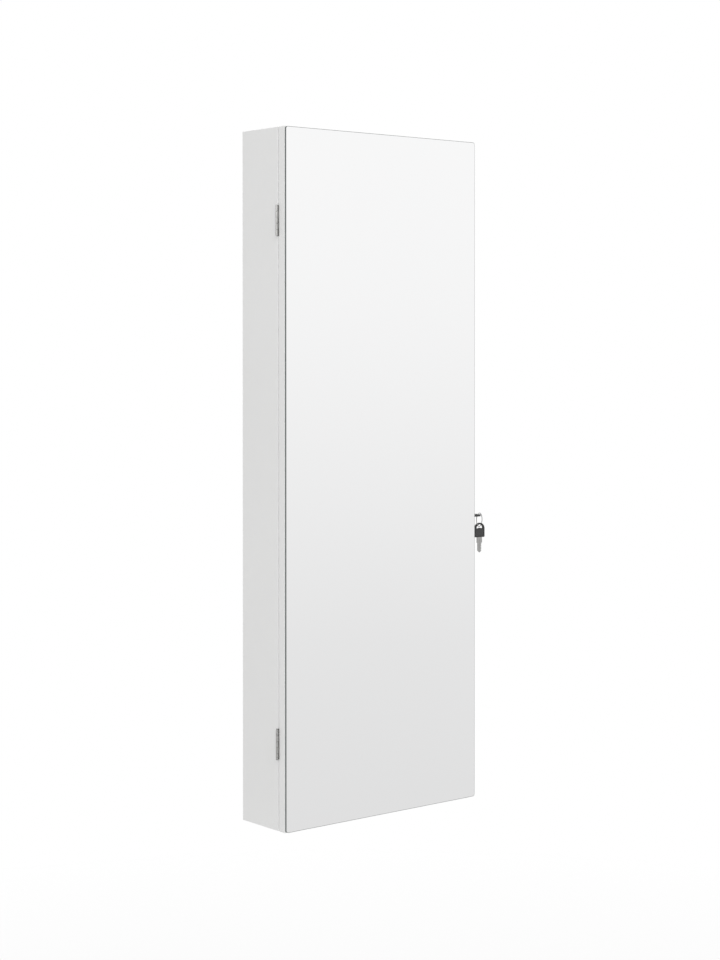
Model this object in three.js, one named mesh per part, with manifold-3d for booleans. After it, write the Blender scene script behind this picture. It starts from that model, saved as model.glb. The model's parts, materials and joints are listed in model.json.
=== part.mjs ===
// Wall-hung jewelry cabinet with a full-length mirror door, in millimetres.
// X runs to the right across the front, Y runs back towards the wall and Z runs up.
// The origin is the centre of the back face, which lies on the wall.
import * as THREE from "three";
import { mergeVertices } from "three/addons/utils/BufferGeometryUtils.js";
import Module from "manifold-3d";

const wasm = await Module();
wasm.setup();

// ---- Cabinet -----------------------------------------------------------------
const cabinetWidth = 380;
const cabinetHeight = 1060;
const cabinetDepth = 112; // from the wall to the face of the mirror
const boardThickness = 12; // sides, top and bottom
const boardArris = 0.6; // softened edge of every painted board
const backThickness = 5;
const backRebate = 6; // width of the step that the back board sits in
const liningThickness = 2; // velvet on card, in front of the back board
const fit = 0.25; // gap around a piece that is let in or slid between others

// ---- Door --------------------------------------------------------------------
const doorThickness = 15;
const mirrorThickness = 3;
const mirrorInset = 0.5; // the glass stops this far inside the door's edge
const mirrorArris = 0.75;
const mirrorCorner = 4; // radius of the glass's four corners
const doorGap = 1; // between the closed door and the cabinet's front edges
const bumperRadius = 4;
const bumperFromEdge = 8; // from the door's outer edges to a bumper's centre

// ---- Butt hinges -------------------------------------------------------------
const hingeLength = 45.3; // of the five knuckles together
const hingeKnuckles = 5;
const knuckleGap = 0.3;
const barrelRadius = 1.9;
const hingeAxisOut = 2.6; // from the cabinet's side to the pin's axis
const hingePinRadius = 0.9;
const hingePinHead = 1.5; // radius of the pin's two flat heads
const hingePinHeadHeight = 0.8;
const leafThickness = 1.2;
const leafGap = 0.3; // between the two leaves of a closed hinge
const leafWidth = 10.5; // of a leaf's flat on the board
const upperHingeFromTop = 141;
const lowerHingeFromBottom = 131.5;
const runningGap = 0.3; // between a turning piece and what holds it

// ---- Cam lock in the right side ----------------------------------------------
const lockBehindFront = 10; // from the cabinet's front edge to the lock's axis
const lockBelowShelf = 67; // from the middle shelf's middle down to the lock's axis
const lockHeadRadius = 8.5;
const lockHeadHeight = 2;
const lockBarrelRadius = 6.5;
const lockBarrelPastNut = 1.75; // how far the barrel's end stands past its nut
const lockPlugRadius = 4.6;
const lockChamfer = 0.7;
const lockPlugProud = 0.3; // how far the plug stands out of the head
const lockNutAcross = 17; // across flats
const lockNutHeight = 3;
const camThickness = 2;
const camArmWidth = 7;
const camReach = 18; // from the lock's axis to the end of the hook
const camHookDrop = 7.5; // from the lock's axis to the side of the hook's finger
const camFinger = 2; // width of the finger
const camFingerTaper = 0.7; // how much wider the finger is at its root
const camFingerBack = 3; // from the arm's end back to the finger
const camSquare = 5; // square tail that carries the cam
const camScrewHeadRadius = 4;
const camScrewHeadHeight = 1.6;
const camScrewRadius = 1.5;
const camScrewLength = 3.5;

// ---- Strike plate and magnetic catch -----------------------------------------
const strikeThickness = 1.2;
const strikeWidth = 14;
const strikeHeight = 40;
const strikeSlotWidth = 5;
const hookClearance = 1.2; // around the hook inside the door
const hookSideClearance = 2; // on each of the hook's flat sides inside the door
const armClearance = 0.6; // between the cam's arm and the strike plate below it
const catchWidth = 11;
const catchDepth = 22;
const catchHeight = 40;
const catchAboveMiddle = 330;
const catchPlateThickness = 1.25;
const magnetWidth = 5;
const magnetDepth = 12;
const magnetHeight = 26;

// ---- Keys and their ring -----------------------------------------------------
const bladeLength = 16;
const bladeWidth = 7;
const bladeThickness = 2;
const bladeTip = 3; // length of the pointed end
const bladeCuts = 4;
const bladeCutDepth = 1.3;
const neckLength = 9;
const neckWidth = 10;
const tangLength = 8; // the part of the blade inside the bow
const tangWidth = 8;
const bowLength = 23.7;
const bowWidth = 19.4;
const bowThickness = 3;
const bowArch = 9.5; // length of the bow's rounded end
const bowCorner = 1.5;
const bowWeb = 2.8; // material between the hole and the bow's end
const bowHoleWidth = 13;
const bowHoleLength = 6.3;
const bowBumpWidth = 3.6; // small rise in the middle of the hole's flat side
const bowBumpHeight = 0.9;
const ringRadius = 11; // to the middle of the wire
const ringWire = 0.65;
const ringTurn = 23.5; // degrees that the ring hangs out of square to the bow
const ringShift = 1.6; // from the middle of the bow's web out to the ring's centre
const ringSeat = 0.4; // gap between the ring and the bow it hangs on
const spareSeat = 3.4; // from the middle of the ring's wire up to the top of the spare bow's hole
const spareTurn = -6; // degrees that the spare key hangs out of line with the cabinet's front

// ---- Wall hangers ------------------------------------------------------------
const hangerFromSide = 60; // from the cabinet's side to a keyhole's centre
const hangerBelowTop = 32; // from the cabinet's top to the middle of a hanger
const hangerWidth = 17;
const hangerHeight = 44;
const hangerThickness = 1.5;
const keyholeRadius = 4.5;
const keyholeSlot = 4.5;
const keyholeRise = 12; // from the round hole's centre to the slot's top
const hangerPocketWidth = 12;
const hangerPocketHeight = 26;
const hangerPocketDepth = 8; // into the rail behind the back board
const hangingRailHeight = 42;
const hangingRailThickness = 12;

// ---- Inside ------------------------------------------------------------------
const shelfThickness = 9;
const shelfSetback = 6; // from the cabinet's front edges to a shelf's front
const upperShelfBelowTop = 308; // from under the top board to the shelf's middle
const ringBayHeight = 220; // from the upper shelf's middle down to the middle shelf's
const lowestShelfHeight = 78; // from the bottom board up to the shelf's middle
const lowerShelfStep = 95;
const lowerShelfCount = 3;
const railThickness = 5;
const railHeight = 14;
const railAboveShelf = 16;
const dividerThickness = 9;

const hookCount = 12;
const hookBarMargin = 13; // from the bar's ends to the cabinet's sides
const hookBarHeight = 16;
const hookBarThickness = 3;
const hookReach = 18;
const hookRise = 7;
const hookWire = 1.6; // radius

const trayWall = 4.5;
const trayDepth = 14;
const trayFloor = 3;
const rollCount = 6;
const rollDepth = 24;
const rollGap = 0.5;

const uprightThickness = 6;
const uprightDepth = 32;
const earringBarCount = 4;
const earringBarHeight = 14;
const earringBarThickness = 3;
const earringNotchWidth = 2.2;
const earringNotchDepth = 6;
const earringNotchPitch = 12;

const rodRadius = 9;
const rodBelowShelf = 60;
const rodFromBack = 38;
const socketRadius = 13;
const socketThickness = 7;
const socketDepth = 4;

// ---- Places worked out from the sizes ------------------------------------------
const halfWidth = cabinetWidth / 2;
const halfHeight = cabinetHeight / 2;
const innerHalfWidth = halfWidth - boardThickness;
const innerHalfHeight = halfHeight - boardThickness;
const doorFrontY = -cabinetDepth + mirrorThickness;
const doorBackY = doorFrontY + doorThickness;
const cabinetFrontY = doorBackY + doorGap;
const liningFrontY = -backThickness - liningThickness;
const railFrontY = -backThickness - hangingRailThickness;
const hingeAxis = [-halfWidth - hingeAxisOut, doorBackY + doorGap / 2];
const hingeHeights = {
  upper: halfHeight - upperHingeFromTop,
  lower: -halfHeight + lowerHingeFromBottom,
};
const lockBarrelLength = boardThickness + fit + lockNutHeight + lockBarrelPastNut;
const lockY = cabinetFrontY + lockBehindFront;
const lockFaceX = halfWidth + lockHeadHeight + lockPlugProud;
const camX = halfWidth - lockBarrelLength - runningGap * 2; // outer face of the cam
const hangerX = halfWidth - hangerFromSide;
const hangerZ = halfHeight - hangerBelowTop;
const upperShelfZ = innerHalfHeight - upperShelfBelowTop;
const middleShelfZ = upperShelfZ - ringBayHeight;
const lockZ = middleShelfZ - lockBelowShelf;
const lowerShelfZ = (i) => -innerHalfHeight + lowestShelfHeight + (lowerShelfCount - 1 - i) * lowerShelfStep;
const hangingRailZ = innerHalfHeight - hangingRailHeight;
const shelfDepth = liningFrontY - fit - (cabinetFrontY + shelfSetback);
const shelfMiddleY = liningFrontY - fit - shelfDepth / 2;
const fullWidth = 2 * (innerHalfWidth - fit); // of a piece between the two sides
const round = 24; // sides of a full circle on the small turned pieces

// ---- Materials -----------------------------------------------------------------
const material = (colour, roughness, metalness = 0) =>
  new THREE.MeshStandardMaterial({ color: colour, roughness, metalness });
const whitePaint = material(0xe6e6e6, 0.45);
const silvering = material(0xf2f4f4, 0.02, 1);
const nickel = material(0xb9bbbb, 0.3, 1);
const steel = material(0x9a9c9e, 0.35, 1);
const blackPlastic = material(0x1d1d1e, 0.4);
const whitePlastic = material(0xe8e8e4, 0.4);
const blackVelvet = material(0x17161a, 0.95);
const clearRubber = material(0xd8dada, 0.3);
const ferrite = material(0x3b3432, 0.6);

// ---- Helpers -------------------------------------------------------------------
// A closed geometry as a solid that can be joined and cut.
function solid(geometry, x = 0, y = 0, z = 0) {
  const points = new THREE.BufferGeometry();
  points.setAttribute("position", geometry.getAttribute("position").clone());
  points.setIndex(geometry.index);
  points.translate(x, y, z);
  const merged = mergeVertices(points, 1e-4);
  return new wasm.Manifold(
    new wasm.Mesh({
      numProp: 3,
      vertProperties: merged.getAttribute("position").array,
      triVerts: new Uint32Array(merged.index.array),
    }),
  );
}

// The solid's faces as a geometry again.
function geometryOf(shape) {
  const mesh = shape.getMesh();
  const geometry = new THREE.BufferGeometry();
  geometry.setAttribute("position", new THREE.BufferAttribute(mesh.vertProperties, 3));
  geometry.setIndex(new THREE.BufferAttribute(mesh.triVerts, 1));
  geometry.computeVertexNormals();
  return geometry;
}

const add = (first, ...others) => others.reduce((sum, other) => sum.add(other), first);
const cut = (first, ...others) => others.reduce((rest, other) => rest.subtract(other), first);
const box = (x, y, z) => new THREE.BoxGeometry(x, y, z);

// A box between two opposite corners, as a solid.
function block([x0, x1], [y0, y1], [z0, z1]) {
  return solid(box(x1 - x0, y1 - y0, z1 - z0), (x0 + x1) / 2, (y0 + y1) / 2, (z0 + z1) / 2);
}

// An outline drawn in X and Y, raised along Z and centred on Z, with softened edges.
function slab(outline, height, arris = 0) {
  const geometry = new THREE.ExtrudeGeometry(outline, {
    depth: height - 2 * arris,
    bevelEnabled: arris > 0,
    bevelThickness: arris,
    bevelSize: arris,
    bevelOffset: -arris,
    bevelSegments: 1,
    curveSegments: round / 4,
  });
  return geometry.translate(0, 0, -height / 2 + arris);
}

function outlineOf(points) {
  return new THREE.Shape(points.map(([x, y]) => new THREE.Vector2(x, y)));
}

function rectangle(width, height, corner = 0) {
  const shape = new THREE.Shape();
  const x = width / 2 - corner;
  const y = height / 2 - corner;
  if (corner === 0) {
    return outlineOf([[-x, -y], [x, -y], [x, y], [-x, y]]);
  }
  shape.absarc(x, y, corner, 0, Math.PI / 2);
  shape.absarc(-x, y, corner, Math.PI / 2, Math.PI);
  shape.absarc(-x, -y, corner, Math.PI, Math.PI * 1.5);
  shape.absarc(x, -y, corner, Math.PI * 1.5, Math.PI * 2);
  return shape;
}

// A painted board with softened edges: width along X, depth along Y, height along Z.
function board(width, depth, height) {
  const x = width / 2;
  const y = depth / 2;
  const a = boardArris;
  const outline = outlineOf([
    [-x + a, -y], [x - a, -y], [x, -y + a], [x, y - a],
    [x - a, y], [-x + a, y], [-x, y - a], [-x, -y + a],
  ]);
  return slab(outline, height, boardArris);
}

// A cylinder along Z between two heights, as a solid.
function post(radius, z0, z1, sides = round) {
  const geometry = new THREE.CylinderGeometry(radius, radius, z1 - z0, sides);
  return solid(geometry.rotateX(Math.PI / 2), 0, 0, (z0 + z1) / 2);
}

// A profile of [radius, distance] points turned about the X axis, which distance runs along.
function turnedAlongX(profile) {
  const points = profile.map(([radius, distance]) => new THREE.Vector2(radius, distance));
  const geometry = new THREE.LatheGeometry(points, round);
  return geometry.rotateZ(-Math.PI / 2);
}

function place(group, name, geometry, finish, x = 0, y = 0, z = 0) {
  const mesh = new THREE.Mesh(geometry, finish);
  mesh.name = name;
  mesh.position.set(x, y, z);
  group.add(mesh);
  return mesh;
}

// ---- Cabinet boards --------------------------------------------------------------
// The step along the back edge of a side, top or bottom board, for the back board.
const rebateCut = (length) => box(2 * backRebate, 2 * backThickness, length + 2);

function buildCabinetBoards(group) {
  const depth = -cabinetFrontY;
  const y = cabinetFrontY / 2;
  const sideX = halfWidth - boardThickness / 2;
  for (const [name, side] of [["side_panel_left", -1], ["side_panel_right", 1]]) {
    let shape = solid(board(boardThickness, depth, cabinetHeight), side * sideX, y, 0);
    shape = cut(shape, solid(rebateCut(cabinetHeight), side * innerHalfWidth, 0, 0));
    shape = cut(shape, ...(side < 0 ? hingeMortises(1) : [lockHole()]));
    place(group, name, geometryOf(shape), whitePaint);
  }
  const topZ = halfHeight - boardThickness / 2;
  for (const [name, end] of [["top_panel", 1], ["bottom_panel", -1]]) {
    const step = solid(rebateCut(cabinetWidth).rotateY(Math.PI / 2), 0, 0, end * innerHalfHeight);
    const plain = solid(board(2 * innerHalfWidth, depth, boardThickness), 0, y, end * topZ);
    place(group, name, geometryOf(cut(plain, step)), whitePaint);
  }
}

function buildBack(group) {
  const width = 2 * (innerHalfWidth + backRebate - fit);
  const height = 2 * (innerHalfHeight + backRebate - fit);
  let back = solid(box(width, backThickness, height), 0, -backThickness / 2, 0);
  let rail = block(
    [-innerHalfWidth + fit, innerHalfWidth - fit],
    [railFrontY, -backThickness],
    [hangingRailZ, innerHalfHeight - fit],
  );
  for (const x of [-hangerX, hangerX]) {
    const recess = solid(
      box(hangerWidth + 2 * fit, 2 * hangerThickness, hangerHeight + 2 * fit), x, 0, hangerZ,
    );
    const pocket = block(
      [x - hangerPocketWidth / 2, x + hangerPocketWidth / 2],
      [-backThickness - hangerPocketDepth, 1],
      [hangerZ - hangerPocketHeight / 2, hangerZ + hangerPocketHeight / 2],
    );
    back = cut(back, recess, pocket);
    rail = cut(rail, pocket);
  }
  place(group, "back_panel", geometryOf(back), whitePaint);
  place(group, "hanging_rail", geometryOf(rail), whitePaint);

  const liningTop = hangingRailZ - fit;
  const liningBottom = -innerHalfHeight + fit;
  place(
    group, "back_lining",
    box(fullWidth, liningThickness, liningTop - liningBottom), blackVelvet,
    0, -backThickness - liningThickness / 2, (liningTop + liningBottom) / 2,
  );
}

// Two steel plates with a keyhole each, flush with the back, that drop over wall screws.
function buildHangers(group) {
  const outline = rectangle(hangerWidth, hangerHeight, 3);
  const hole = new THREE.Path();
  const half = keyholeSlot / 2;
  const low = -keyholeRise / 2;
  const lean = Math.asin(half / keyholeRadius);
  hole.absarc(0, low, keyholeRadius, Math.PI / 2 - lean, Math.PI / 2 + lean, true);
  hole.absarc(0, low + keyholeRise - half, half, Math.PI, 0, true);
  outline.holes.push(hole);
  for (const [side, x] of [["left", -hangerX], ["right", hangerX]]) {
    const plate = slab(outline, hangerThickness).rotateX(Math.PI / 2);
    place(group, `wall_hanger_${side}`, plate, steel, x, -hangerThickness / 2, hangerZ);
  }
}

// ---- Hinges ----------------------------------------------------------------------
const leafInset = leafThickness - (doorGap - leafGap) / 2; // depth that a leaf is let in

// The shallow cuts for the leaves in the cabinet's edge (side 1) or the door's back (side -1).
function hingeMortises(side) {
  const faceY = side > 0 ? cabinetFrontY : doorBackY;
  return Object.values(hingeHeights).map((z) =>
    solid(
      box(leafWidth + fit + 2, 2 * leafInset, hingeLength + 2 * fit),
      -halfWidth + (leafWidth + fit - 2) / 2, faceY, z,
    ),
  );
}

// One leaf with its knuckles, around a pin on the Z axis. Side 1 lies behind the gap, -1 before it.
function hingeLeaf(side) {
  const pitch = hingeLength / hingeKnuckles;
  const length = hingeAxisOut + leafWidth;
  const near = (side * leafGap) / 2;
  const far = near + side * leafThickness;
  const half = hingeLength / 2;
  let leaf = block([0, length], [Math.min(near, far), Math.max(near, far)], [-half, half]);
  for (let i = 0; i < hingeKnuckles; i++) {
    const z0 = -half + i * pitch;
    const ownKnuckle = i % 2 === (side > 0 ? 0 : 1);
    if (ownKnuckle) {
      const trimLow = i > 0 ? knuckleGap / 2 : 0;
      const trimHigh = i < hingeKnuckles - 1 ? knuckleGap / 2 : 0;
      leaf = add(leaf, post(barrelRadius, z0 + trimLow, z0 + pitch - trimHigh));
    } else {
      leaf = cut(leaf, post(barrelRadius + runningGap, z0 - knuckleGap / 2, z0 + pitch + knuckleGap / 2));
    }
  }
  return cut(leaf, post(hingePinRadius + runningGap, -hingeLength, hingeLength, 16));
}

function hingePin() {
  const half = hingeLength / 2 + runningGap;
  return add(
    post(hingePinRadius, -half - 0.1, half + 0.1, 16),
    post(hingePinHead, half, half + hingePinHeadHeight, 16),
    post(hingePinHead, -half - hingePinHeadHeight, -half, 16),
  );
}

function buildHinges(cabinet, door) {
  for (const [height, z] of Object.entries(hingeHeights)) {
    const at = [...hingeAxis, z];
    place(cabinet, `hinge_${height}_cabinet_leaf`, geometryOf(hingeLeaf(1)), nickel, ...at);
    place(cabinet, `hinge_${height}_pin`, geometryOf(hingePin()), nickel, ...at);
    place(door, `hinge_${height}_door_leaf`, geometryOf(hingeLeaf(-1)), nickel, ...at);
  }
}

// ---- Door ------------------------------------------------------------------------
// The box that the hook sweeps inside the door, behind the strike plate.
function hookPocket() {
  return block(
    [camX - camThickness - hookSideClearance, camX + hookSideClearance],
    [lockY - camReach - 2 * hookClearance, doorBackY + 1],
    [lockZ - camHookDrop - hookClearance, lockZ + camReach],
  );
}

const strikeX = camX - camThickness / 2;
const strikeZ = lockZ + camHookDrop;

function buildDoor(group) {
  const panel = cut(
    solid(board(cabinetWidth, doorThickness, cabinetHeight), 0, (doorFrontY + doorBackY) / 2, 0),
    ...hingeMortises(-1),
    hookPocket(),
    solid(
      box(strikeWidth + 2 * fit, 2 * strikeThickness, strikeHeight + 2 * fit),
      strikeX, doorBackY, strikeZ,
    ),
  );
  place(group, "door_panel", geometryOf(panel), whitePaint);

  const glass = slab(
    rectangle(cabinetWidth - 2 * mirrorInset, cabinetHeight - 2 * mirrorInset, mirrorCorner),
    mirrorThickness, mirrorArris,
  );
  place(
    group, "mirror_glass", glass.rotateX(Math.PI / 2), silvering,
    0, doorFrontY - mirrorThickness / 2, 0,
  );

  const bumperHeight = doorGap - fit;
  for (const [name, end] of [["door_bumper_top", 1], ["door_bumper_bottom", -1]]) {
    const bumper = new THREE.CylinderGeometry(bumperRadius * 0.8, bumperRadius, bumperHeight, round);
    place(
      group, name, bumper, clearRubber,
      halfWidth - bumperFromEdge, doorBackY + bumperHeight / 2, end * (halfHeight - bumperFromEdge),
    );
  }
}

function buildStrikeAndCatch(cabinet, door) {
  const sweep = Math.hypot(camReach, camArmWidth / 2);
  const slotTop = lockZ + Math.sqrt(sweep ** 2 - (lockY - doorBackY) ** 2) + hookClearance;
  const slotBottom = lockZ - camArmWidth / 2 - armClearance;
  const plate = slab(rectangle(strikeWidth, strikeHeight, 2), strikeThickness).rotateX(Math.PI / 2);
  const slot = block(
    [strikeX - strikeSlotWidth / 2, strikeX + strikeSlotWidth / 2],
    [doorBackY - 2 * strikeThickness, doorBackY + 1],
    [slotBottom, slotTop],
  );
  const strike = cut(solid(plate, strikeX, doorBackY - strikeThickness / 2, strikeZ), slot);
  place(door, "strike_plate", geometryOf(strike), steel);

  // The catch sits on the right side's inner face, its mouth just behind the door's plate.
  const mouthY = doorBackY + catchPlateThickness + fit;
  const catchX = innerHalfWidth - fit - catchWidth / 2;
  const magnetZ = catchAboveMiddle;
  const pocket = box(magnetWidth + 2 * fit, 2 * (magnetDepth + fit), magnetHeight + 2 * fit);
  const shell = slab(rectangle(catchWidth, catchDepth), catchHeight, boardArris);
  const housing = cut(
    solid(shell, catchX, mouthY + catchDepth / 2, magnetZ),
    solid(pocket, catchX, mouthY, magnetZ),
  );
  place(cabinet, "catch_housing", geometryOf(housing), whitePlastic);
  place(
    cabinet, "catch_magnet", box(magnetWidth, magnetDepth, magnetHeight), ferrite,
    catchX, mouthY + magnetDepth / 2, magnetZ,
  );
  place(
    door, "catch_plate", box(catchWidth - 2, catchPlateThickness, catchHeight), steel,
    catchX, doorBackY + catchPlateThickness / 2, magnetZ,
  );
}

// ---- Lock ------------------------------------------------------------------------
function lockHole() {
  const hole = new THREE.CylinderGeometry(
    lockBarrelRadius + runningGap, lockBarrelRadius + runningGap, 2 * boardThickness, round,
  );
  return solid(hole.rotateZ(Math.PI / 2), halfWidth - boardThickness / 2, lockY, lockZ);
}

function buildLock(cabinet, core) {
  const bore = lockPlugRadius + runningGap;
  const housing = turnedAlongX([
    [bore, -lockBarrelLength],
    [lockBarrelRadius, -lockBarrelLength],
    [lockBarrelRadius, 0],
    [lockHeadRadius, 0],
    [lockHeadRadius, lockHeadHeight - lockChamfer],
    [lockHeadRadius - lockChamfer, lockHeadHeight],
    [bore, lockHeadHeight],
    [bore, -lockBarrelLength],
  ]);
  place(cabinet, "lock_housing", housing, nickel, halfWidth, lockY, lockZ);

  const corner = lockNutAcross / Math.sqrt(3);
  const nutBore = lockBarrelRadius + fit;
  const nutX = innerHalfWidth - fit - lockNutHeight / 2;
  const nut = cut(
    solid(new THREE.CylinderGeometry(corner, corner, lockNutHeight, 6)),
    solid(new THREE.CylinderGeometry(nutBore, nutBore, 2 * lockNutHeight, round)),
  );
  place(cabinet, "lock_nut", geometryOf(nut).rotateZ(Math.PI / 2), nickel, nutX, lockY, lockZ);

  // The plug turns in the housing. Its keyway holds the blade, its square tail the cam.
  const tailStart = -lockBarrelLength - runningGap;
  const tailEnd = camX - camThickness - fit - halfWidth;
  const plugEnd = lockHeadHeight + lockPlugProud;
  const keyway = block(
    [plugEnd - bladeLength - 1, plugEnd + 1],
    [-bladeWidth / 2 - runningGap, bladeWidth / 2 + runningGap],
    [-bladeThickness / 2 - runningGap, bladeThickness / 2 + runningGap],
  );
  const plug = solid(
    turnedAlongX([
      [0, tailStart],
      [lockPlugRadius, tailStart],
      [lockPlugRadius, plugEnd - lockChamfer],
      [lockPlugRadius - lockChamfer, plugEnd],
      [0, plugEnd],
    ]),
  );
  const tailSide = [-camSquare / 2, camSquare / 2];
  const tail = block([tailEnd, tailStart + 1], tailSide, tailSide);
  const screwBore = camScrewRadius + runningGap;
  const screwHole = solid(
    new THREE.CylinderGeometry(screwBore, screwBore, 2 * camScrewLength + 2, 16).rotateZ(Math.PI / 2),
    tailEnd, 0, 0,
  );
  const turned = cut(add(plug, tail), keyway, screwHole);
  place(core, "lock_plug", geometryOf(turned), nickel, halfWidth, lockY, lockZ);

  // The hook cam points up when the door is free. A quarter turn brings it down into the strike.
  const arm = camArmWidth / 2;
  const fingerTop = camReach - camFingerBack;
  const cam = outlineOf([
    [-arm, -arm], [arm, -arm], [arm, fingerTop - camFinger - camFingerTaper],
    [camHookDrop, fingerTop - camFinger],
    [camHookDrop, fingerTop], [arm, camReach], [-arm, camReach],
  ]);
  const square = camSquare + 2 * runningGap;
  const camShape = cut(solid(slab(cam, camThickness)), solid(box(square, square, 2 * camThickness)));
  // The outline's X becomes the front direction and its Y becomes up.
  const camGeometry = geometryOf(camShape).rotateX(Math.PI / 2).rotateZ(-Math.PI / 2);
  place(core, "lock_cam", camGeometry, steel, camX - camThickness / 2, lockY, lockZ);

  const screwHeadX = halfWidth + tailEnd - fit;
  const screw = add(
    solid(
      new THREE.CylinderGeometry(camScrewHeadRadius, camScrewHeadRadius * 0.85, camScrewHeadHeight, round)
        .rotateZ(-Math.PI / 2),
      -camScrewHeadHeight / 2, 0, 0,
    ),
    solid(
      new THREE.CylinderGeometry(camScrewRadius, camScrewRadius, camScrewLength, 16).rotateZ(Math.PI / 2),
      camScrewLength / 2 - 0.1, 0, 0,
    ),
  );
  place(core, "cam_screw", geometryOf(screw), steel, screwHeadX, lockY, lockZ);
}

// ---- Keys ------------------------------------------------------------------------
// A key lies along X with its flat in XY. Its blade ends at the origin and points to -X.
function bladeGeometry() {
  const half = bladeWidth / 2;
  const pitch = (bladeLength - bladeTip - 2) / bladeCuts;
  const points = [[-bladeLength, 0], [-bladeLength + bladeTip, -half]];
  for (let i = 0; i < bladeCuts; i++) {
    const start = -bladeLength + bladeTip + 0.5 + i * pitch;
    const depth = bladeCutDepth * (i % 2 === 0 ? 1 : 0.6);
    points.push([start, -half], [start + pitch * 0.4, -half + depth], [start + pitch * 0.8, -half]);
  }
  points.push(
    [0, -half], [0, -neckWidth / 2], [neckLength, -neckWidth / 2],
    [neckLength, -tangWidth / 2], [neckLength + tangLength, -tangWidth / 2],
    [neckLength + tangLength, tangWidth / 2], [neckLength, tangWidth / 2],
    [neckLength, neckWidth / 2], [0, neckWidth / 2], [0, half], [-bladeLength + bladeTip, half],
  );
  return slab(outlineOf(points), bladeThickness);
}

function bowGeometry() {
  const start = neckLength + fit;
  const shoulder = start + bowLength - bowArch;
  const half = bowWidth / 2;
  const outline = new THREE.Shape();
  outline.absellipse(shoulder, 0, bowArch, half, -Math.PI / 2, Math.PI / 2, false);
  outline.absarc(start + bowCorner, half - bowCorner, bowCorner, Math.PI / 2, Math.PI);
  outline.absarc(start + bowCorner, -half + bowCorner, bowCorner, Math.PI, Math.PI * 1.5);
  const flat = start + bowLength - bowWeb - bowHoleLength;
  const hole = new THREE.Path();
  hole.absellipse(flat, 0, bowHoleLength, bowHoleWidth / 2, -Math.PI / 2, Math.PI / 2, false);
  hole.absellipse(flat, 0, bowBumpHeight, bowBumpWidth / 2, Math.PI / 2, -Math.PI / 2, true);
  outline.holes.push(hole);
  const socket = box(2 * (tangLength + fit), tangWidth + 2 * runningGap, bladeThickness + runningGap);
  return geometryOf(cut(solid(slab(outline, bowThickness, 0.4)), solid(socket, start, 0, 0)));
}

function ringGeometry() {
  return new THREE.TorusGeometry(ringRadius, ringWire, 8, 32).rotateX(Math.PI / 2);
}

// The middle of the web that a ring hangs on, from the key's origin.
const webMiddle = neckLength + fit + bowLength - bowWeb / 2;

function buildKeys(keys, ring, spare) {
  const keyX = lockFaceX + runningGap;
  place(keys, "key_blade", bladeGeometry(), nickel, keyX, lockY, lockZ);
  place(keys, "key_bow", bowGeometry(), blackPlastic, keyX, lockY, lockZ);

  // The ring hangs on the bow's end and stands on edge, turned a little out of square.
  const hangX = keyX + webMiddle + ringShift;
  const webRise = Math.sqrt((ringRadius - ringWire) ** 2 - (ringShift + bowWeb / 2) ** 2);
  const ringZ = lockZ + bowThickness / 2 + ringSeat - webRise;
  const ringMesh = place(ring, "key_ring", ringGeometry(), nickel, hangX, lockY, ringZ);
  ringMesh.rotation.z = THREE.MathUtils.degToRad(ringTurn);

  // The spare key hangs on the ring's foot, flat side to the front, with its blade down.
  const spareTopZ = ringZ - ringRadius + spareSeat + bowWeb;
  spare.position.set(hangX, lockY, spareTopZ - (neckLength + fit + bowLength));
  spare.rotation.set(0, -Math.PI / 2, THREE.MathUtils.degToRad(spareTurn) + Math.PI / 2, "ZYX");
  place(spare, "spare_key_blade", bladeGeometry(), nickel);
  place(spare, "spare_key_bow", bowGeometry(), blackPlastic);
}

// ---- Inside fittings ---------------------------------------------------------------
const shelfHeights = { upper_shelf: upperShelfZ, middle_shelf: middleShelfZ };
for (let i = 0; i < lowerShelfCount; i++) {
  shelfHeights[`lower_shelf_${i + 1}`] = lowerShelfZ(i);
}

function buildShelves(group) {
  for (const [name, z] of Object.entries(shelfHeights)) {
    place(group, name, board(fullWidth, shelfDepth, shelfThickness), whitePaint, 0, shelfMiddleY, z);
  }
  const railY = cabinetFrontY + shelfSetback + railThickness / 2;
  for (let i = 0; i < lowerShelfCount; i++) {
    const z = lowerShelfZ(i) + shelfThickness / 2 + railAboveShelf + railHeight / 2;
    place(group, `shelf_rail_${i + 1}`, board(fullWidth, railThickness, railHeight), whitePaint, 0, railY, z);
  }
  place(
    group, "centre_divider",
    board(dividerThickness, shelfDepth, bayTop - bayBottom - 2 * fit), whitePaint,
    0, shelfMiddleY, (bayTop + bayBottom) / 2,
  );
}

// The bay between the middle and upper shelves, which holds the rings and the earrings.
const bayTop = upperShelfZ - shelfThickness / 2;
const bayBottom = middleShelfZ + shelfThickness / 2;
const bayMiddleZ = (bayTop + bayBottom) / 2;

function buildNecklaceHooks(group) {
  const barY = railFrontY - fit - hookBarThickness / 2;
  const barZ = hangingRailZ + hangingRailHeight / 2;
  const width = fullWidth - 2 * hookBarMargin;
  let bar = solid(board(width, hookBarThickness, hookBarHeight));
  const pitch = width / hookCount;
  const path = new THREE.CatmullRomCurve3([
    new THREE.Vector3(0, 0, 0),
    new THREE.Vector3(0, -hookReach * 0.45, -hookRise * 0.25),
    new THREE.Vector3(0, -hookReach * 0.85, 0),
    new THREE.Vector3(0, -hookReach, hookRise),
  ]);
  const section = new THREE.Shape().absarc(0, 0, hookWire, 0, Math.PI * 2);
  const hook = new THREE.ExtrudeGeometry(section, { steps: 7, curveSegments: 7, extrudePath: path });
  for (let i = 0; i < hookCount; i++) {
    bar = add(bar, solid(hook, (i + 0.5) * pitch - width / 2, 0, -hookBarHeight / 4));
  }
  place(group, "necklace_hook_bar", geometryOf(bar), nickel, 0, barY, barZ);
}

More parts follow.
